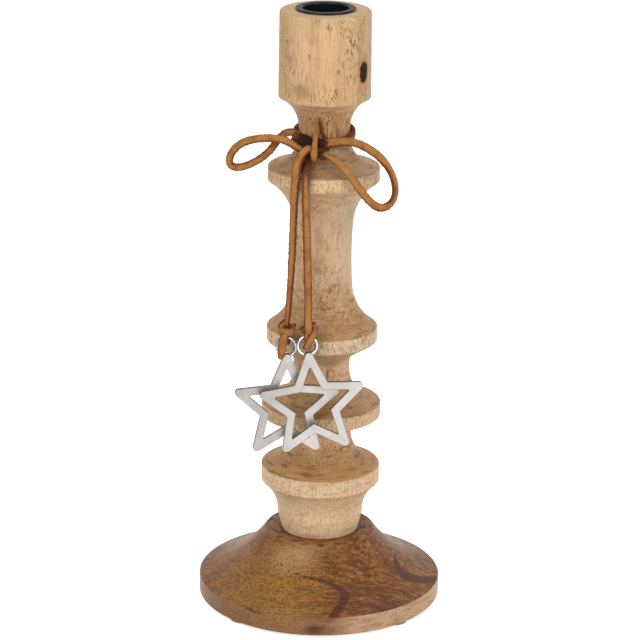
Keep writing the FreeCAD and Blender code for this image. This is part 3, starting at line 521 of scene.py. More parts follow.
@dataclass(frozen=True)
class BaseWood:
    """Darker mango wood of the base, with plum streaks and a gold patch."""

    brown: Colour = (0.385, 0.172, 0.05)
    dark: Colour = (0.085, 0.03, 0.01)
    gold: Colour = (0.37, 0.2, 0.036)
    plum: Colour = (0.08, 0.022, 0.016)
    red: Colour = (0.17, 0.055, 0.018)
    pale: Colour = (0.59, 0.375, 0.225)
    bright: Colour = (0.42, 0.24, 0.085)
    hatch: Colour = (0.11, 0.032, 0.01)
    glow: Colour = (0.46, 0.205, 0.055)
    sheen: Colour = (0.5, 0.315, 0.135)
    mottle: Colour = (0.3, 0.14, 0.06)
    left_rim_shade: Colour = (0.19, 0.09, 0.04)
    light_circle: Colour = (0.4, 0.18, 0.055)
    dark_circle: Colour = (0.06, 0.018, 0.008)
    roughness: float = 0.36
    gloss: float = 0.13
    rim_top: Span = (0.0105, 0.013)
    joint_foot: Span = (0.03, 0.034)
    ring_foot: Span = (0.0325, 0.035)
    joint_radius: Span = (0.0195, 0.0222)
    turn: Point = (0.0, 0.0, 0.22)
    hatch_turn: Point = (0.0, 0.0, -0.55)
    gold_spot: Spot = ((-24, -40, 20), (24, 21, 18))
    highlight_spot: Spot = ((-14, -28.5, 30), (12, 7, 7))
    corner_spot: Spot = ((34, -48, 11), (14, 8, 3))
    knot_spot: Spot = ((-2.1, -60.5, 4.5), (4.2, 4, 2.4))
    long_streak: Streak = (
        ((-29.7, -15.3, 27.5), (-22.0, -26.2, 26.7), (-14.9, -33.8, 24.1), (-6.9, -37.9, 22.8),
         (0.5, -39.5, 21.9), (6.0, -40.9, 20.5), (11.0, -42.6, 18.6), (13.4, -45.9, 16.3),
         (12.0, -50.1, 14.4), (10.0, -53.3, 13.1), (7.1, -59.5, 11.0)),
        (0.3, 0.4, 0.5, 0.8, 1.0, 1.4, 1.9, 2.3, 2.1, 2.0, 2.2))
    short_streak: Streak = (
        ((37.7, -6.2, 23.0), (38.6, -13.0, 20.9), (40.6, -18.3, 18.3), (44.1, -19.4, 16.1),
         (48.2, -18.8, 14.3), (53.3, -16.0, 12.6), (59.6, -10.4, 10.3)),
        (0.6, 1.5, 2.8, 3.4, 3.2, 2.9, 2.8))
    crack: Streak = (
        ((-37.2, -47.3, 10.8), (-33.7, -50.2, 10.6), (-31.4, -51.7, 9.6), (-26.2, -54.5, 10.2)),
        (0.3, 0.5, 0.6, 0.2))

    def material(self) -> bpy.types.Material:
        """Build the finish.

        Returns:
            The material.
        """
        s = WoodShader("base_wood", (90, 750, 750), self.turn)
        flow, speckle, pores = self.lay_wood(s)
        crack = self.lay_streaks(s, speckle)
        self.lay_top(s, flow)
        dents = s.math("SUBTRACT", s.fibre, s.math("ADD", pores, s.product(crack, 3.0)))
        return s.finish(self.roughness, s.bump(dents, 0.0002, 0.55), self.gloss)

    def lay_wood(self, s: WoodShader) -> tuple[Socket, Socket, Socket]:
        """Lay the wood's own colours, its pores, the hatching on the right and a painted highlight.

        Args:
            s: the shader.

        Returns:
            The slow flow of the grain, the fine speckle, and the share of open pores.
        """
        blotch = s.grain((34, 34, 34))
        flow = s.grain((22, 120, 120), self.turn)
        tone = s.math("MULTIPLY_ADD", s.fibre, 0.55, s.product(blotch, 0.3))
        tone = s.math("MULTIPLY_ADD", flow, 0.35, tone)
        s.coat = s.mix(s.ramp(tone, 0.46, 0.8), self.brown, self.dark)
        s.lay(self.red, s.ramp(s.east, -0.004, 0.022, 0.0, 0.8), s.ramp(flow, 0.35, 0.7))
        s.lay(self.gold, s.near(self.gold_spot, 0.8), s.ramp(s.fibre, 0.25, 0.75, 0.95, 0.5))
        # Painted highlight: a lighter patch on the slope left of the column; a painted sheen goes
        # over it below.
        bright = s.near(self.highlight_spot, 0.8)
        s.lay(self.bright, bright, 0.6)
        speckle = s.grain((1050, 1050, 1050), roughness=0.75)
        s.lay(self.dark, s.ramp(speckle, 0.45, 0.63, 0.0, 0.8))
        pores = s.grain((190, 1000, 1000), self.turn, 2.0)
        pores = s.product(s.ramp(pores, 0.52, 0.64, 0.0, 0.85),
                          s.ramp(s.east, -0.015, 0.01, 0.45, 1.0))
        s.lay(self.dark, pores)
        hatch = s.grain((150, 620, 620), self.hatch_turn)
        s.lay(self.hatch, s.ramp(hatch, 0.5, 0.66), s.ramp(s.east, 0.0, 0.018, 0.0, 0.8))
        glow = s.grain((60, 430, 430), self.hatch_turn, 2.0)
        s.lay(self.glow, s.ramp(glow, 0.48, 0.64), s.ramp(s.east, -0.002, 0.016, 0.0, 0.55),
              s.ramp(speckle, 0.4, 0.6, 1.0, 0.3))
        s.lay(self.dark, s.ramp(s.lathe(220.0, 2.6), 0.5, 0.7, 0.0, 0.4))
        # Painted sheen over the painted highlight.
        s.lay(self.sheen, bright, s.ramp(speckle, 0.3, 0.65, 0.5, 0.28))
        return flow, speckle, pores

    def lay_streaks(self, s: WoodShader, speckle: Socket) -> Socket:
        """Lay the plum streaks, the colours of the upright rim, the knot and the crack.

        Args:
            s: the shader.
            speckle: the fine speckle.

        Returns:
            A share that is one in the crack.
        """
        uneven = s.wobble(500.0, 0.0011)
        streak = s.math("MAXIMUM", s.stroke(uneven, self.long_streak, 0.45),
                        s.stroke(uneven, self.short_streak, 0.6))
        s.lay(self.plum, streak, s.ramp(speckle, 0.35, 0.65, 0.95, 0.7))
        s.lay(self.plum, s.near(self.corner_spot, 0.7), 0.6)
        rim = s.product(s.ramp(s.up, 0.25, 0.6, 1.0, 0.0),
                        s.ramp(s.height, *self.rim_top, 1.0, 0.0))
        side = s.math("ADD", s.ramp(s.east, 0.002, 0.022, 0.14, 0.95),
                      s.ramp(s.east, -0.056, -0.036, 0.08, 0.0))
        s.lay(self.pale, rim, side, s.ramp(speckle, 0.3, 0.5, 0.45, 1.0))
        mottle = s.grain((140, 140, 420), roughness=0.65)
        s.lay(self.mottle, s.ramp(mottle, 0.46, 0.62, 0.0, 0.55), rim)
        # Painted shade: the left of the upright rim is laid darker.
        s.lay(self.left_rim_shade, rim, s.ramp(s.east, -0.05, -0.022, 0.5, 0.0))
        s.lay(self.plum, s.near(self.knot_spot, 0.6), 0.75)
        crack = s.stroke(uneven, self.crack, 0.3)
        s.lay(self.plum, crack, 0.95)
        return crack

    def lay_top(self, s: WoodShader, flow: Socket) -> None:
        """Lay the colours of the flat ring on top, and the painted shade in the column's joint.

        Args:
            s: the shader.
            flow: the slow flow of the grain.
        """
        top = s.ramp(s.height, *self.ring_foot)
        s.lay(self.red, top, s.ramp(flow, 0.35, 0.65, 0.15, 0.75))
        circles = s.lathe(380.0, 5.5)
        s.lay(self.light_circle, top, s.ramp(circles, 0.42, 0.56, 0.45, 0.0))
        s.lay(self.dark_circle, top, s.ramp(circles, 0.52, 0.62, 0.0, 0.85))
        # Painted shade: a dark ring in the joint round the column's foot.
        s.lay(self.dark, s.ramp(s.radius(), *self.joint_radius, 0.85, 0.0),
              s.ramp(s.height, *self.joint_foot))


@dataclass(frozen=True)
class SuedeLace:
    """Cognac suede, redder and darker towards its edges, partly as painted shade, and with painted
    shade in its hollows.
    """

    middle: Colour = (0.42, 0.178, 0.05)
    side: Colour = (0.26, 0.092, 0.024)
    edge: Colour = (0.135, 0.036, 0.011)
    hollow: Colour = (0.022, 0.008, 0.006)
    roughness: float = 0.88
    sheen: float = 0.12
    gloss: float = 0.15

    def material(self) -> bpy.types.Material:
        """Build the finish.

        Returns:
            The material.
        """
        s = Shader("lace_leather")
        across = s.add("Attribute", {"attribute_name": "across"}).outputs["Fac"]
        shade = s.add("Attribute", {"attribute_name": "shade"}).outputs["Fac"]
        nap = s.grain((1300, 1300, 1300), roughness=0.75)
        patch = s.grain((170, 170, 170))
        # Lighter in the middle and darker to the edges: partly the suede's own colour, partly painted
        # light and shade on its rounded section.
        shift = s.math("MULTIPLY_ADD", s.math("SUBTRACT", nap, 0.5), 1.5, across)
        shift = s.math("ADD", shift, shade)
        s.coat = s.mix(s.ramp(shift, 0.35, 0.9), self.middle, self.side)
        s.lay(self.side, s.ramp(patch, 0.45, 0.68, 0.0, 0.75))
        s.lay(self.edge, s.ramp(shift, 0.7, 1.08, 0.0, 0.95))
        # Painted shade: where the shade value is above one, the lace turns near black, for the
        # hollows.
        s.lay(self.hollow, s.ramp(shade, 1.0, 2.0))
        s.surface_set(Base_Color=s.coat, Roughness=self.roughness,
                      Normal=s.bump(nap, 0.0002, 0.9), Specular_IOR_Level=self.gloss,
                      Sheen_Weight=s.ramp(shade, 0.4, 1.4, self.sheen, 0.0), Sheen_Roughness=0.5)
        return s.material


@dataclass(frozen=True)
class Metal:
    """Plain metal with a fine brushed or cast surface.

    Where face is given, places that look another way take the colour of the rim, as painted shade
    that is darkest where they look up, so that a ring keeps only a thin painted highlight. A metal
    can also be given painted shade that darkens its left.
    """

    name: str
    colour: Colour
    shade: Colour
    roughness: float
    grain: Point = (900.0, 900.0, 900.0)
    depth: float = 0.00002
    face: Point | None = None
    rim: Colour = (0.05, 0.045, 0.042)
    rim_span: tuple[float, float] = (0.45, 0.9)
    left_shade_level: float = 1.0

    def material(self) -> bpy.types.Material:
        """Build the finish.

        Returns:
            The material.
        """
        s = Shader(self.name)
        grain = s.grain(self.grain)
        cloud = s.grain((110, 110, 110), detail=2.0)
        s.coat = s.mix(s.ramp(cloud, 0.3, 0.7), self.colour, self.shade)
        # Painted shade on the edges of the plates and on the sides of the ring's wire.
        if self.face is not None:
            turned = s.vector("DOT_PRODUCT", s.normal, self.face)
            flat = s.math("ABSOLUTE", turned.outputs["Value"])
            rim = s.mix(s.ramp(s.axes(s.normal)[2], -0.9, 0.3), self.shade, self.rim)
            s.coat = s.mix(s.ramp(flat, *self.rim_span), rim, s.coat)
        # Painted shade: darker towards the left.
        if self.left_shade_level < 1.0:
            east = s.axes(s.spot)[0]
            s.lay((0.0, 0.0, 0.0), s.ramp(east, -0.034, -0.002, 1.0 - self.left_shade_level, 0.0))
        rough = s.ramp(grain, 0.25, 0.75, self.roughness * 0.85, self.roughness * 1.2)
        s.surface_set(Base_Color=s.coat, Metallic=1.0, Roughness=rough,
                      Normal=s.bump(grain, self.depth, 0.5))
        return s.material


@dataclass(frozen=True)
class BlackEnamel:
    """Gloss black paint of the candle cup."""

    colour: Colour = (0.007, 0.007, 0.008)
    cloud: Colour = (0.009, 0.009, 0.01)
    roughness: float = 0.16

    def material(self) -> bpy.types.Material:
        """Build the finish, less glossy where the cup looks up.

        Returns:
            The material.
        """
        s = Shader("cup_metal")
        ripple = s.grain((260, 260, 260), detail=2.0)
        rough = s.ramp(ripple, 0.3, 0.7, self.roughness, self.roughness + 0.1)
        gloss = s.ramp(s.axes(s.normal)[2], 0.55, 0.97, 0.22, 0.02)
        s.surface_set(Base_Color=s.mix(ripple, self.colour, self.cloud), Roughness=rough,
                      Specular_IOR_Level=gloss, Normal=s.bump(ripple, 0.00004, 0.4))
        return s.material


@dataclass(frozen=True)
class Felt:
    """Brown felt of the pads."""

    colour: Colour = (0.34, 0.23, 0.15)
    fleck: Colour = (0.22, 0.145, 0.09)

    def material(self) -> bpy.types.Material:
        """Build the finish.

        Returns:
            The material.
        """
        s = Shader("felt")
        wool = s.grain((1900, 1900, 1900), detail=4.0, roughness=0.7)
        s.surface_set(Base_Color=s.mix(s.ramp(wool, 0.35, 0.65), self.colour, self.fleck),
                      Roughness=0.95, Sheen_Weight=0.4, Normal=s.bump(wool, 0.0002, 0.9))
        return s.material


def select_only(item: bpy.types.Object) -> None:
    """Select this object and no other, and make it active."""
    bpy.ops.object.select_all(action="DESELECT")
    item.select_set(True)
    bpy.context.view_layer.objects.active = item


def runs(line: Sequence[Vector]) -> list[float]:
    """How far along a line each of its points lies."""
    result = [0.0]
    for start, end in zip(line, line[1:]):
        result.append(result[-1] + (end - start).length)
    return result


def moved(points: Sequence[Point], place: Point) -> list[Point]:
    """Points given from a place on the object, as places on the object."""
    return [tuple(a + b for a, b in zip(point, place)) for point in points]


@dataclass
class Strand:
    """One stretch of lace: the route of its middle, its width and which way its flat looks.

    Points are in millimetres. faces has one direction for each point, or one for all. sections
    has width, thickness and shade in the same way: shade is painted light and shade, 0 where
    plain, less where painted lighter and up to 2 in a hollow of painted shade. fuzz is the length
    of a usual hair, in millimetres: flat_hair of it stands out everywhere, up to edge_hair is
    added towards the edges, and deep_hair of it counts through the thickness.
    """

    route: Sequence[Point]
    faces: Sequence[Point]
    sections: Sequence[Point]
    seed: int
    fuzz: float = 0.2
    around: int = 24
    end_size: float = 0.75
    squareness: float = 0.62
    least_hair: float = -0.6
    flat_hair: float = 0.15
    edge_hair: float = 0.85
    deep_hair: float = 0.3
    hair_power: int = 4
    across_power: float = 1.5

    def line(self) -> list[Vector]:
        """Points along the smooth line of the route, in metres.

        Returns:
            The points, from the first of the route to its last.
        """
        curve = bpy.data.curves.new("lace_line", "CURVE")
        curve.dimensions = "3D"
        spline = curve.splines.new("NURBS")
        spline.points.add(len(self.route) - 1)
        for point, place in zip(spline.points, self.route):
            point.co = (*(value * MM for value in place), 1.0)
        spline.order_u = 3
        spline.use_endpoint_u = True
        spline.resolution_u = 16
        holder = bpy.data.objects.new("lace_line", curve)
        bpy.context.scene.collection.objects.link(holder)
        bpy.context.view_layer.update()
        mesh = bpy.data.meshes.new_from_object(holder)
        points = [vertex.co.copy() for vertex in mesh.vertices]
        bpy.data.objects.remove(holder)
        bpy.data.meshes.remove(mesh)
        bpy.data.curves.remove(curve)
        return points

    def spread(self, values: Sequence[Point], places: Sequence[float]) -> list[Vector]:
        """Carry values from the points of the route over to the points of the line.

        Args:
            values: one for each point of the route, or one for all.
            places: how far along the line each of its points lies.

        Returns:
            A value for each point of the line.
        """
        given = [Vector(value) for value in values]
        if len(given) == 1:
            return given * len(places)
        stops = runs([Vector(point) for point in self.route])
        result, number = [], 0
        for run in places:
            place = run / places[-1] * stops[-1]
            while number < len(stops) - 2 and place > stops[number + 1]:
                number += 1
            share = (place - stops[number]) / (stops[number + 1] - stops[number])
            share = min(max(share, 0.0), 1.0)
            result.append(given[number].lerp(given[number + 1], share))
        return result

    def shape(self) -> tuple[list[Vector], list[tuple[int, ...]], list[tuple[float, ...]]]:
        """Sweep the rounded section along the line.

        Returns:
            Vertices, faces, and for each vertex its place across the lace, from 0 in its middle
            to 1 at its edges, its shade, its place along it in metres and its place round it.
        """
        line = self.line()
        places = runs(line)
        dice = random.Random(self.seed)
        looks = self.spread(self.faces, places)
        sections = self.spread(self.sections, places)
        verts, values, faces = [], [], []
        last = len(line) - 1
        for index, (point, run) in enumerate(zip(line, places)):
            ahead = line[min(index + 1, last)] - line[max(index - 1, 0)]
            ahead.normalize()
            out = looks[index] - ahead * looks[index].dot(ahead)
            out.normalize()
            side = ahead.cross(out)
            width, thickness, shade = sections[index]
            size = self.end_size if index in (0, last) else 1.0
            for step in range(self.around):
                angle = 2 * math.pi * step / self.around
                x, y = math.cos(angle), math.sin(angle)
                x = math.copysign(abs(x) ** self.squareness, x)
                y = math.copysign(abs(y) ** self.squareness, y)
                hair = max(dice.gauss(0.0, 1.0), self.least_hair) * self.fuzz
                hair *= self.flat_hair + self.edge_hair * abs(x) ** self.hair_power
                wide = (x * width / 2 * size + math.copysign(hair, x)) * MM
                deep = (y * thickness / 2 * size + math.copysign(hair, y) * self.deep_hair) * MM
                verts.append(point + side * wide + out * deep)
                across = abs(x) ** self.across_power
                values.append((across, shade, run, step / self.around))
        for index in range(last):
            for step in range(self.around):
                after = (step + 1) % self.around
                first = index * self.around
                second = first + self.around
                faces.append((first + step, second + step, second + after, first + after))
        faces.append(tuple(range(self.around)))
        faces.append(tuple(reversed(range(last * self.around, (last + 1) * self.around))))
        return verts, faces, values


@dataclass(frozen=True)
class TailKnot:
    """The knot over a ring, in millimetres from the top of the ring.

    The lace goes through the ring as an eye of one thickness. The stretches after it have a
    route, facings and sections each.
    """

    ring_top: Point
    eye_shade: float
    stretches: Sequence[tuple[Sequence[Point], Sequence[Point], Sequence[Point]]]
    eye_width: float = 2.5
    eye_thickness: float = 1.3
    eye: Sequence[Point] = ((0.6, 2.0, 5.6), (0.6, 3.2, 1.4), (0.4, 1.6, -2.9), (0.0, -1.9, -2.9),
                            (-0.4, -2.9, 1.0), (-0.6, -2.4, 3.4))
    eye_faces: Sequence[Point] = (BACK, BACK, (0, 0.4, -1), (0, -0.4, -1), FRONT, FRONT)
    first_seed: int = 31

    def strands(self) -> list[Strand]:
        """The eye, and then the other stretches with the free end as the last."""
        section = (self.eye_width, self.eye_thickness, self.eye_shade)
        rows = [(self.eye, self.eye_faces, (section,)), *self.stretches]
        return [Strand(moved(route, self.ring_top), faces, sections, self.first_seed + number)
                for number, (route, faces, sections) in enumerate(rows)]


@dataclass
class Lace:
    """The suede lace: its stretches round the neck, in the bow, and down to the rings.

    Loops and tails are given in millimetres from bow, the middle of the bow's knot. The rows of
    bow_knot have the route, facings, sections, seed and fuzz of a strand, in places on the
    object. Angles are in degrees, and the neck's turn starts and ends in front, behind the knot.
    """

    body: str = "holder"
    slot: str = "lace_leather"
    width: float = 3.5
    bow: Point = (-4.4, -17.95, 235.8)
    right_loop: Sequence[Point] = (
        (0.4, -0.45, 2.2), (6.9, -1.45, 3.4), (14.4, -0.25, 4.2), (22, 3.15, 1.8),
        (29.4, 3.95, -2.9), (35.4, 2.35, -8.9), (38.8, 0.35, -16.4), (38.8, -1.45, -23.2),
        (35.4, -3.45, -27.4), (30.4, -6.25, -27.2), (25.8, -9.25, -22.6),
        (20.8, -11.25, -15.4), (15.4, -9.25, -8.4), (9.2, -3.05, -4), (2.8, -0.25, -2.2),
    )
    left_loop: Sequence[Point] = (
        (-3.2, -0.9, -1.4), (-7.1, -2.4, 0.3), (-10.7, -3.0, 2.9), (-14.8, -3.6, 5.3),
        (-19.0, -3.6, 5.9), (-25.2, -3.6, 6.0), (-31.1, -3.4, 4.9), (-36.0, -2.8, 2.7),
        (-39.4, -2.5, -0.9), (-41.0, -2.1, -4.9), (-40.5, -1.7, -8.0), (-38.0, -1.4, -9.3),
        (-33.9, -0.9, -8.9), (-29.2, -0.2, -7.0), (-24.4, 0.5, -4.1), (-20.6, 1.1, -0.4),
        (-16.1, 1.9, 6.2), (-12.0, 2.15, 8.0), (-8.2, 1.5, 7.0), (-4.4, 1.0, 4.0),
    )
    left_tail: Sequence[Point] = (
        (-1.8, -1.9, 1.4), (-5.0, -3.6, 0.2), (-7.8, -6.0, -3.6), (-9.0, -9.45, -10.6),
        (-9.5, -10.45, -19.4), (-9.8, -9.65, -31.8), (-10.4, -9.85, -51.8),
        (-11.2, -9.95, -67.8), (-12, -10.05, -78.8), (-12.7, -9.65, -86.4),
    )
    right_tail: Sequence[Point] = (
        (-1.6, 0.35, -1.8), (-3, -1.05, -6.6), (-4, -6.85, -8.6), (-4.3, -12.25, -13.2),
        (-4, -13.25, -21.8), (-3.6, -12.25, -33.8), (-3, -12.65, -51.8), (-2.4, -13.05, -67.8),
        (-2.2, -13.35, -77.8), (-2.5, -13.45, -84.8),
    )
    neck_radius: float = 13.95
    neck_height: float = 239.4
    neck_tilt: float = 8.0
    neck_start: float = -82.0
    neck_sweep: float = 316.0
    neck_stops: int = 22
    neck_section: Point = (3.7, 2.5, 0.55)
    bow_knot: Sequence[tuple[Sequence[Point], Sequence[Point], Sequence[Point], int, float]] = (
        # The strap over the knot.
        (((-4.2, -15.2, 242.5), (-4.2, -18.6, 242.9), (-4.3, -21.4, 240.7),
          (-4.6, -22.3, 237.9), (-4.8, -22.2, 233.9), (-4.7, -20.8, 230.7),
          (-4.6, -17.6, 231.3)),
         (OVER, OVER, FRONT, FRONT, FRONT, (0, -0.5, -1), (0, 1, -0.6)),
         ((2.6, 1.6, 0.2), (2.6, 1.6, 0.1), (2.3, 1.6, 0.0), (2.6, 1.8, -0.1),
          (3.1, 1.9, -0.2), (3.0, 1.8, 0.2), (2.6, 1.6, 0.6)), 21, 0.2),
        # A dark strand for the painted shade in the hollow left of the knot.
        (((-15.0, -17.4, 242.1), (-12.4, -18.4, 240.9), (-9.4, -19.2, 239.7),
          (-6.0, -19.4, 238.5)), (FRONT,),
         ((2.2, 2.0, 0.7), (3.6, 2.4, 1.6), (5.4, 2.6, 2.0), (4.4, 2.4, 2.0)), 22, 0.9),
        # The fold under that hollow, painted darker for shade.
        (((-14.6, -17.8, 239.1), (-12.0, -19.6, 236.9), (-9.2, -20.2, 235.3),
          (-6.6, -19.8, 234.5)), (FRONT,),
         ((2.0, 1.6, 0.6), (2.2, 1.8, 0.9), (2.2, 1.8, 1.2), (1.6, 1.6, 1.4)), 25, 0.3),
        # A dark strand for the painted shade in the hollow to the right.
        (((-3.6, -19.6, 239.3), (-1.6, -20.0, 239.3), (0.4, -20.0, 239.1),
          (1.8, -19.6, 238.7)), (FRONT,),
         ((3.2, 2.0, 2.0), (3.0, 2.0, 1.9), (2.4, 1.9, 1.6), (1.5, 1.6, 1.1)), 23, 0.6),
        # The fold under it, painted dark for shade.
        (((-3.4, -19.0, 233.3), (-1.4, -19.4, 232.5), (0.8, -19.4, 231.9),
          (2.6, -19.0, 232.1)), ((0, -1, 0.4),),
         ((2.4, 1.6, 1.7), (2.4, 1.6, 1.4), (2.0, 1.5, 1.3), (1.2, 1.2, 1.2)), 26, 0.25),
        # The ragged shadow beside the left tail.
        (((-8.2, -19.0, 237.0), (-9.3, -19.6, 233.7), (-10.2, -20.2, 229.4),
          (-10.7, -20.6, 224.6)), (FRONT,),
         ((1.6, 1.2, 1.3), (2.2, 1.3, 1.6), (1.9, 1.2, 1.4), (0.9, 0.9, 0.9)), 27, 0.7),
        # The lace gathered behind, painted dark for the shade behind the knot.
        (((-10.6, -15.9, 238.1), (-6.0, -17.4, 237.3), (-2.6, -17.6, 236.9),
          (2.0, -16.2, 237.9)), (FRONT,), ((6.4, 2.4, 1.1),), 24, 0.2),
    )
    left_knot: TailKnot = TailKnot((-17.132, -27.488, 143.829), 0.3, (
        (((2.6, 1.0, 6.6), (3.0, -1.2, 5.0), (2.4, -2.6, 3.6), (0.0, -3.6, 3.4),
          (-2.6, -3.8, 4.2), (-3.8, -2.2, 4.6), (-3.0, 0.6, 4.2)),
         (FRONT, RIGHT, FRONT, FRONT, FRONT, LEFT, BACK),
         ((3.2, 1.7, 0.5), (3.4, 1.8, 0.4), (3.6, 1.8, 0.1), (3.8, 1.8, -0.2),
          (3.8, 1.8, -0.2), (3.4, 1.7, 0.3), (3.0, 1.6, 0.7))),
        (((0.8, 1.4, 8.2), (-1.4, -0.6, 7.8), (-2.8, -2.6, 6.4), (-1.4, -3.6, 4.6),
          (1.4, -2.6, 3.2)), (FRONT,), ((2.8, 1.6, 0.5),)),
        (((0.6, -1.8, 3.6), (-0.6, -4.6, 2.9), (-1.6, -5.7, 0.6), (-1.9, -6.3, -2.8),
          (-2.3, -6.9, -6.2), (-2.8, -7.1, -8.8)), (FRONT,),
         ((3.0, 1.6, 0.5), (3.4, 1.6, 0.2), (3.8, 1.6, 0.1), (3.9, 1.6, 0.0),
          (3.4, 1.5, 0.1), (1.8, 1.3, 0.5))),
    ))
    right_knot: TailKnot = TailKnot((-6.932, -31.329, 145.929), 0.4, (
        (((-0.4, 1.6, 4.0), (-2.2, 0.4, 3.0), (-2.6, -1.4, 3.6), (-1.0, -2.2, 4.8),
          (1.6, -1.6, 5.8), (3.2, 0.0, 5.6), (3.0, 1.4, 4.0)),
         (FRONT, LEFT, FRONT, FRONT, FRONT, RIGHT, BACK),
         ((3.0, 1.6, 0.9), (3.0, 1.7, 0.6), (3.2, 1.7, 0.8), (3.2, 1.7, 0.7),
          (3.2, 1.7, 0.7), (3.2, 1.7, 0.4), (3.0, 1.6, 0.9))),
        (((0.1, 0.0, 11.5), (0.3, -1.6, 8.6), (0.5, -3.7, 5.6), (0.4, -3.2, 2.6),
          (0.2, -1.8, 1.6)), (FRONT,),
         ((2.6, 1.4, 0.0), (3.4, 1.8, 0.0), (3.4, 1.7, -0.1), (2.8, 1.6, 0.2),
          (2.4, 1.5, 0.6))),
        (((3.4, 0.4, 5.2), (3.6, -1.8, 3.4), (2.6, -3.2, 1.0), (1.0, -3.0, -1.6),
          (-0.2, -2.4, -4.2), (-0.8, -2.0, -6.0)), ((0.3, -1, 0.3),),
         ((2.8, 1.6, 0.4), (3.0, 1.6, 0.2), (3.2, 1.6, 0.0), (3.2, 1.6, 0.1),
          (3.2, 1.5, 0.1), (2.6, 1.4, 0.5))),
    ))
    uv_length: float = 0.01

    def piece(self, node: str, strands: Sequence[Strand],
              finish: bpy.types.Material) -> bpy.types.Object:
        """Make one mesh of some stretches of lace and let it stand for its CAD node.

        Args:
            node: the CAD node's name.
            strands: the stretches.
            finish: the material.

        Returns:
            The mesh object.
        """
        verts, faces, values = [], [], []
        for strand in strands:
            start = len(verts)
            new_verts, new_faces, new_values = strand.shape()
            verts += new_verts
            values += new_values
            faces += [tuple(start + index for index in face) for face in new_faces]
        mesh = bpy.data.meshes.new(node)
        mesh.from_pydata([tuple(vert) for vert in verts], [], faces)
        mesh.validate()
        for place, name in enumerate(("across", "shade")):
            attribute = mesh.attributes.new(name, "FLOAT", "POINT")
            attribute.data.foreach_set("value", [value[place] for value in values])
        layer = mesh.uv_layers.new(name="lace")
        for corner in mesh.loops:
            _, _, run, turn = values[corner.vertex_index]
            layer.data[corner.index].uv = (turn, run / self.uv_length)
        item = bpy.data.objects.new(f"suede_{node}", mesh)
        bpy.context.scene.collection.objects.link(item)
        select_only(item)
        bpy.ops.object.mode_set(mode="EDIT")
        bpy.ops.mesh.select_all(action="SELECT")
        bpy.ops.mesh.normals_make_consistent(inside=False)
        bpy.ops.object.mode_set(mode="OBJECT")
        bpy.ops.object.shade_smooth()
        mesh.materials.append(finish)
        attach(item, self.body)
        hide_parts(node)
        LOG.info("%s: %d vertices", node, len(mesh.vertices))
        return item

    def cord(self, node: str, strand: Strand, finish: bpy.types.Material) -> None:
        """Make a free stretch of the lace.

        Args:
            node: the CAD node's name.
            strand: the stretch.
            finish: the material.
        """
        item = self.piece(node, [strand], finish)
        line = strand.line()

    def neck_strand(self) -> Strand:
        """The turn of lace round the neck, open in front behind the knot."""
        tilt = math.radians(self.neck_tilt)
        route, faces = [], []
        radius = self.neck_radius / math.cos(math.pi * self.neck_sweep / 360 / self.neck_stops)
        for step in range(self.neck_stops + 1):
            angle = math.radians(self.neck_start + self.neck_sweep * step / self.neck_stops)
            x, y = math.cos(angle), math.sin(angle)
            route.append((x * radius, y * radius * math.cos(tilt),
                          self.neck_height + y * radius * math.sin(tilt)))
            faces.append((x, y, 0.0))
        return Strand(route, faces, (self.neck_section,), 11)

    def build(self) -> None:
        """Make every stretch of the lace."""
        finish = SuedeLace().material()
        free = (
            ("right_loop", self.right_loop, [LEAN] * 5 + [RIGHT] * 4 + [LEAN] * 6,
             [(3.0, 2.2, 0.5)] + [(3.7, 2.5, 0.0)] * 6 + [(3.5, 2.5, 0.05)] * 3
             + [(3.5, 2.4, -0.15)] * 2 + [(3.5, 2.4, -0.25), (2.6, 2.0, -0.1), (1.2, 1.4, 0.6)]),
            ("left_loop", self.left_loop,
             [(0, -1, 0.6)] * 7 + [(-0.5, -1, 0.3)] + [(-0.7, -1, 0)] * 3 + [(-0.3, -1, -0.3)]
             + [(0, -1, 0.1)] * 8,
             [(2.6, 2.0, 0.8), (3.0, 2.2, 0.4), (3.3, 2.3, 0.2)] + [(3.4, 2.4, 0.0)] * 9
             + [(3.3, 2.4, 0.2)] * 8),
            ("left_tail", self.left_tail,
             [(-0.2, -1, 0.4), (-0.3, -1, 0.3)] + [(-0.45, -1, 0)] * 4 + [(-0.3, -1, 0)] * 4,
             [(3.4, 2.2, 0.0)] * 2 + [(3.8, 2.4, 0.05)] * 3 + [(3.2, 2.4, 0.15)] * 2
             + [(2.7, 2.3, 0.35)] * 2 + [(2.2, 2.0, 0.45)]),
            # Painted shade: the right tail's top is laid dark under the knot.
            ("right_tail", self.right_tail,
             [FRONT, FRONT, (0, -0.7, 0.7), (0.2, -1, 0.3)] + [(0.3, -1, 0)] * 3 + [FRONT] * 3,
             [(3.0, 2.2, 1.4)] * 2 + [(3.0, 2.2, 1.1), (3.3, 2.3, 0.4)] + [(3.5, 2.3, 0.1)] * 6),
        )
        for seed, (node, route, faces, sections) in enumerate(free, 1):
            strand = Strand(moved(route, self.bow), faces, sections, seed)
            self.cord(node, strand, finish)
        self.piece("neck_wrap", [self.neck_strand()], finish)
        self.piece("bow_knot", [Strand(*row) for row in self.bow_knot], finish)
        self.piece("left_tail_knot", self.left_knot.strands(), finish)
        self.piece("right_tail_knot", self.right_knot.strands(), finish)


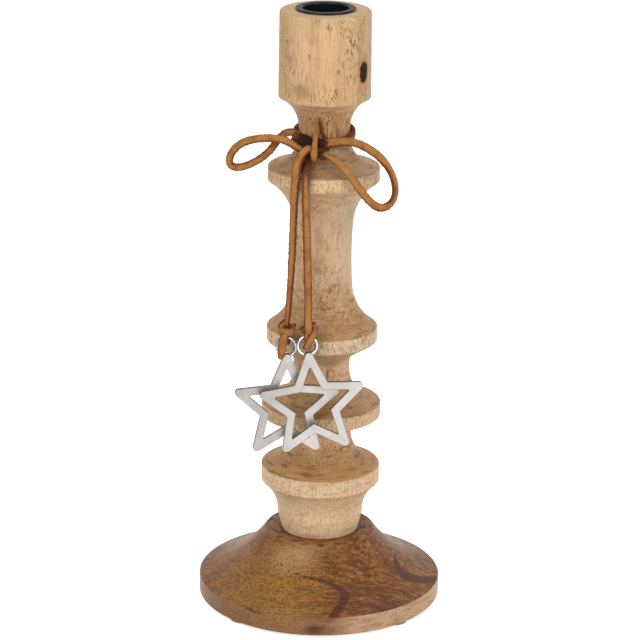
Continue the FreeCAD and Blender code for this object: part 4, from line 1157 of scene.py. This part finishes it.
@dataclass
class HardParts:
    """The CAD nodes that keep their shape: wood, cup, screw, felt, rings and stars."""

    nodes: dict[str, bpy.types.Object]
    plate_faces: Point = (0.138532, -0.985709, 0.095846)

    def dress(self, names: Sequence[str], finish: bpy.types.Material) -> None:
        """Give the finish to every material slot of the named nodes."""
        for name in names:
            item = self.nodes[name]
            if not item.material_slots:
                item.data.materials.append(finish)
            for place in item.material_slots:
                place.material = finish
            LOG.info("%s: %s", name, finish.name)

    def build(self) -> None:
        """Dress each hard node."""
        steel = Metal("screw_steel", (0.55, 0.55, 0.56), (0.45, 0.45, 0.46), 0.35)
        bright = Metal("ring_metal", (0.74, 0.73, 0.71), (0.6, 0.59, 0.57), 0.22,
                       face=self.plate_faces, rim=(0.06, 0.055, 0.05), rim_span=(0.6, 1.0))
        satin = Metal("star_metal", (0.565, 0.535, 0.51), (0.49, 0.455, 0.425), 0.38,
                      (300.0, 300.0, 1500.0), 0.00003, self.plate_faces, left_shade_level=0.78)
        for look, *names in ((ColumnWood(), "column"), (BaseWood(), "base"),
                             (BlackEnamel(), "candle_cup"), (Felt(), "felt_pads"),
                             (steel, "base_screw"), (bright, "left_ring", "right_ring"),
                             (satin, "left_star", "right_star")):
            self.dress(names, look.material())


@dataclass
class Studio:
    """Plain pale floor, soft lamps, and a white surround for the camera and for gloss.

    Each lamp has a name, a place, a size in metres and a power in watts.
    """

    floor_size: float = 5.0
    floor_colour: Colour = (0.8, 0.8, 0.8)
    floor_glow: float = 0.66
    white: tuple[float, float, float, float] = (1.0, 1.0, 1.0, 1.0)
    surround: float = 0.48
    lamps: Sequence[tuple[str, Point, float, float]] = (
        ("key", (-0.75, -1.1, 1.25), 0.9, 11.6),
        ("fill", (1.0, -0.95, 0.75), 0.9, 7.0),
        ("top", (0.1, 0.35, 1.5), 0.8, 4.6),
    )
    target: Point = (0.0, 0.0, 0.15)

    def white_rays(self, tree: bpy.types.NodeTree) -> Socket:
        """One for rays from the camera, off gloss or through glass."""
        path = tree.nodes.new("ShaderNodeLightPath")
        share = path.outputs["Is Camera Ray"]
        for name in ("Is Glossy Ray", "Is Transmission Ray"):
            either = tree.nodes.new("ShaderNodeMath")
            either.operation = "MAXIMUM"
            tree.links.new(share, either.inputs[0])
            tree.links.new(path.outputs[name], either.inputs[1])
            share = either.outputs[0]
        return share

    def floor(self) -> None:
        """Make the floor, which glows for the white rays."""
        bpy.ops.mesh.primitive_plane_add(size=self.floor_size, location=(0, 0, 0))
        floor = bpy.context.object
        floor.name = "floor"
        bpy.ops.object.select_all(action="DESELECT")
        s = Shader("pale_floor")
        glow = s.product(self.white_rays(s.tree), self.floor_glow)
        s.surface_set(Base_Color=(*self.floor_colour, 1.0), Roughness=0.9,
                      Emission_Color=self.white, Emission_Strength=glow, Specular_IOR_Level=0.0)
        floor.data.materials.append(s.material)

    def world(self) -> None:
        """Make the surround, at full strength for the white rays."""
        world = bpy.data.worlds.new("surround")
        bpy.context.scene.world = world
        world.use_nodes = True
        tree = world.node_tree
        back = tree.nodes["Background"]
        level = tree.nodes.new("ShaderNodeMapRange")
        level.inputs["To Min"].default_value = self.surround
        level.inputs["To Max"].default_value = 1.0
        tree.links.new(self.white_rays(tree), level.inputs["Value"])
        tree.links.new(level.outputs[0], back.inputs["Strength"])
        back.inputs["Color"].default_value = self.white

    def light(self) -> None:
        """Make the lamps and turn them to the object."""
        for name, place, size, power in self.lamps:
            data = bpy.data.lights.new(name, "AREA")
            data.shape = "DISK"
            data.size = size
            data.energy = power
            lamp = bpy.data.objects.new(name, data)
            lamp.location = place
            aim = Vector(self.target) - Vector(place)
            lamp.rotation_euler = aim.to_track_quat("-Z", "Y").to_euler()
            bpy.context.scene.collection.objects.link(lamp)

    def build(self) -> None:
        """Make the floor, the world and the lamps."""
        self.floor()
        self.world()
        self.light()


@dataclass
class PhotoCamera:
    """Camera at the photograph's viewing angle: metres, degrees, and millimetres for its lens."""

    place: Point = (0.0, -1.36723, 0.588785)
    pitch: float = -18.019
    roll: float = 0.68
    yaw: float = -0.042
    focal: float = 163.87
    sensor: float = 36.0

    def build(self) -> None:
        """Make the camera and use it for the scene."""
        data = bpy.data.cameras.new("photo_camera")
        data.sensor_fit = "HORIZONTAL"
        data.sensor_width = self.sensor
        data.lens = self.focal
        camera = bpy.data.objects.new("photo_camera", data)
        bpy.context.scene.collection.objects.link(camera)
        placed = Matrix.Translation(self.place)
        for angle, axis in ((-self.yaw, "Z"), (90.0 + self.pitch, "X"), (self.roll, "Z")):
            placed = placed @ Matrix.Rotation(math.radians(angle), 4, axis)
        camera.matrix_world = placed
        bpy.context.scene.camera = camera


def main() -> None:
    """Build the camera, the studio and every piece, in order."""
    logging.basicConfig(level=logging.INFO, format="%(name)s: %(message)s")
    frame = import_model()
    bpy.ops.object.select_all(action="DESELECT")
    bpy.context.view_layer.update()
    bpy.context.scene.view_settings.view_transform = "Standard"
    PhotoCamera().build()
    Lace().build()
    HardParts(frame["nodes"]).build()
    Studio().build()


if __name__ == "__main__":
    main()
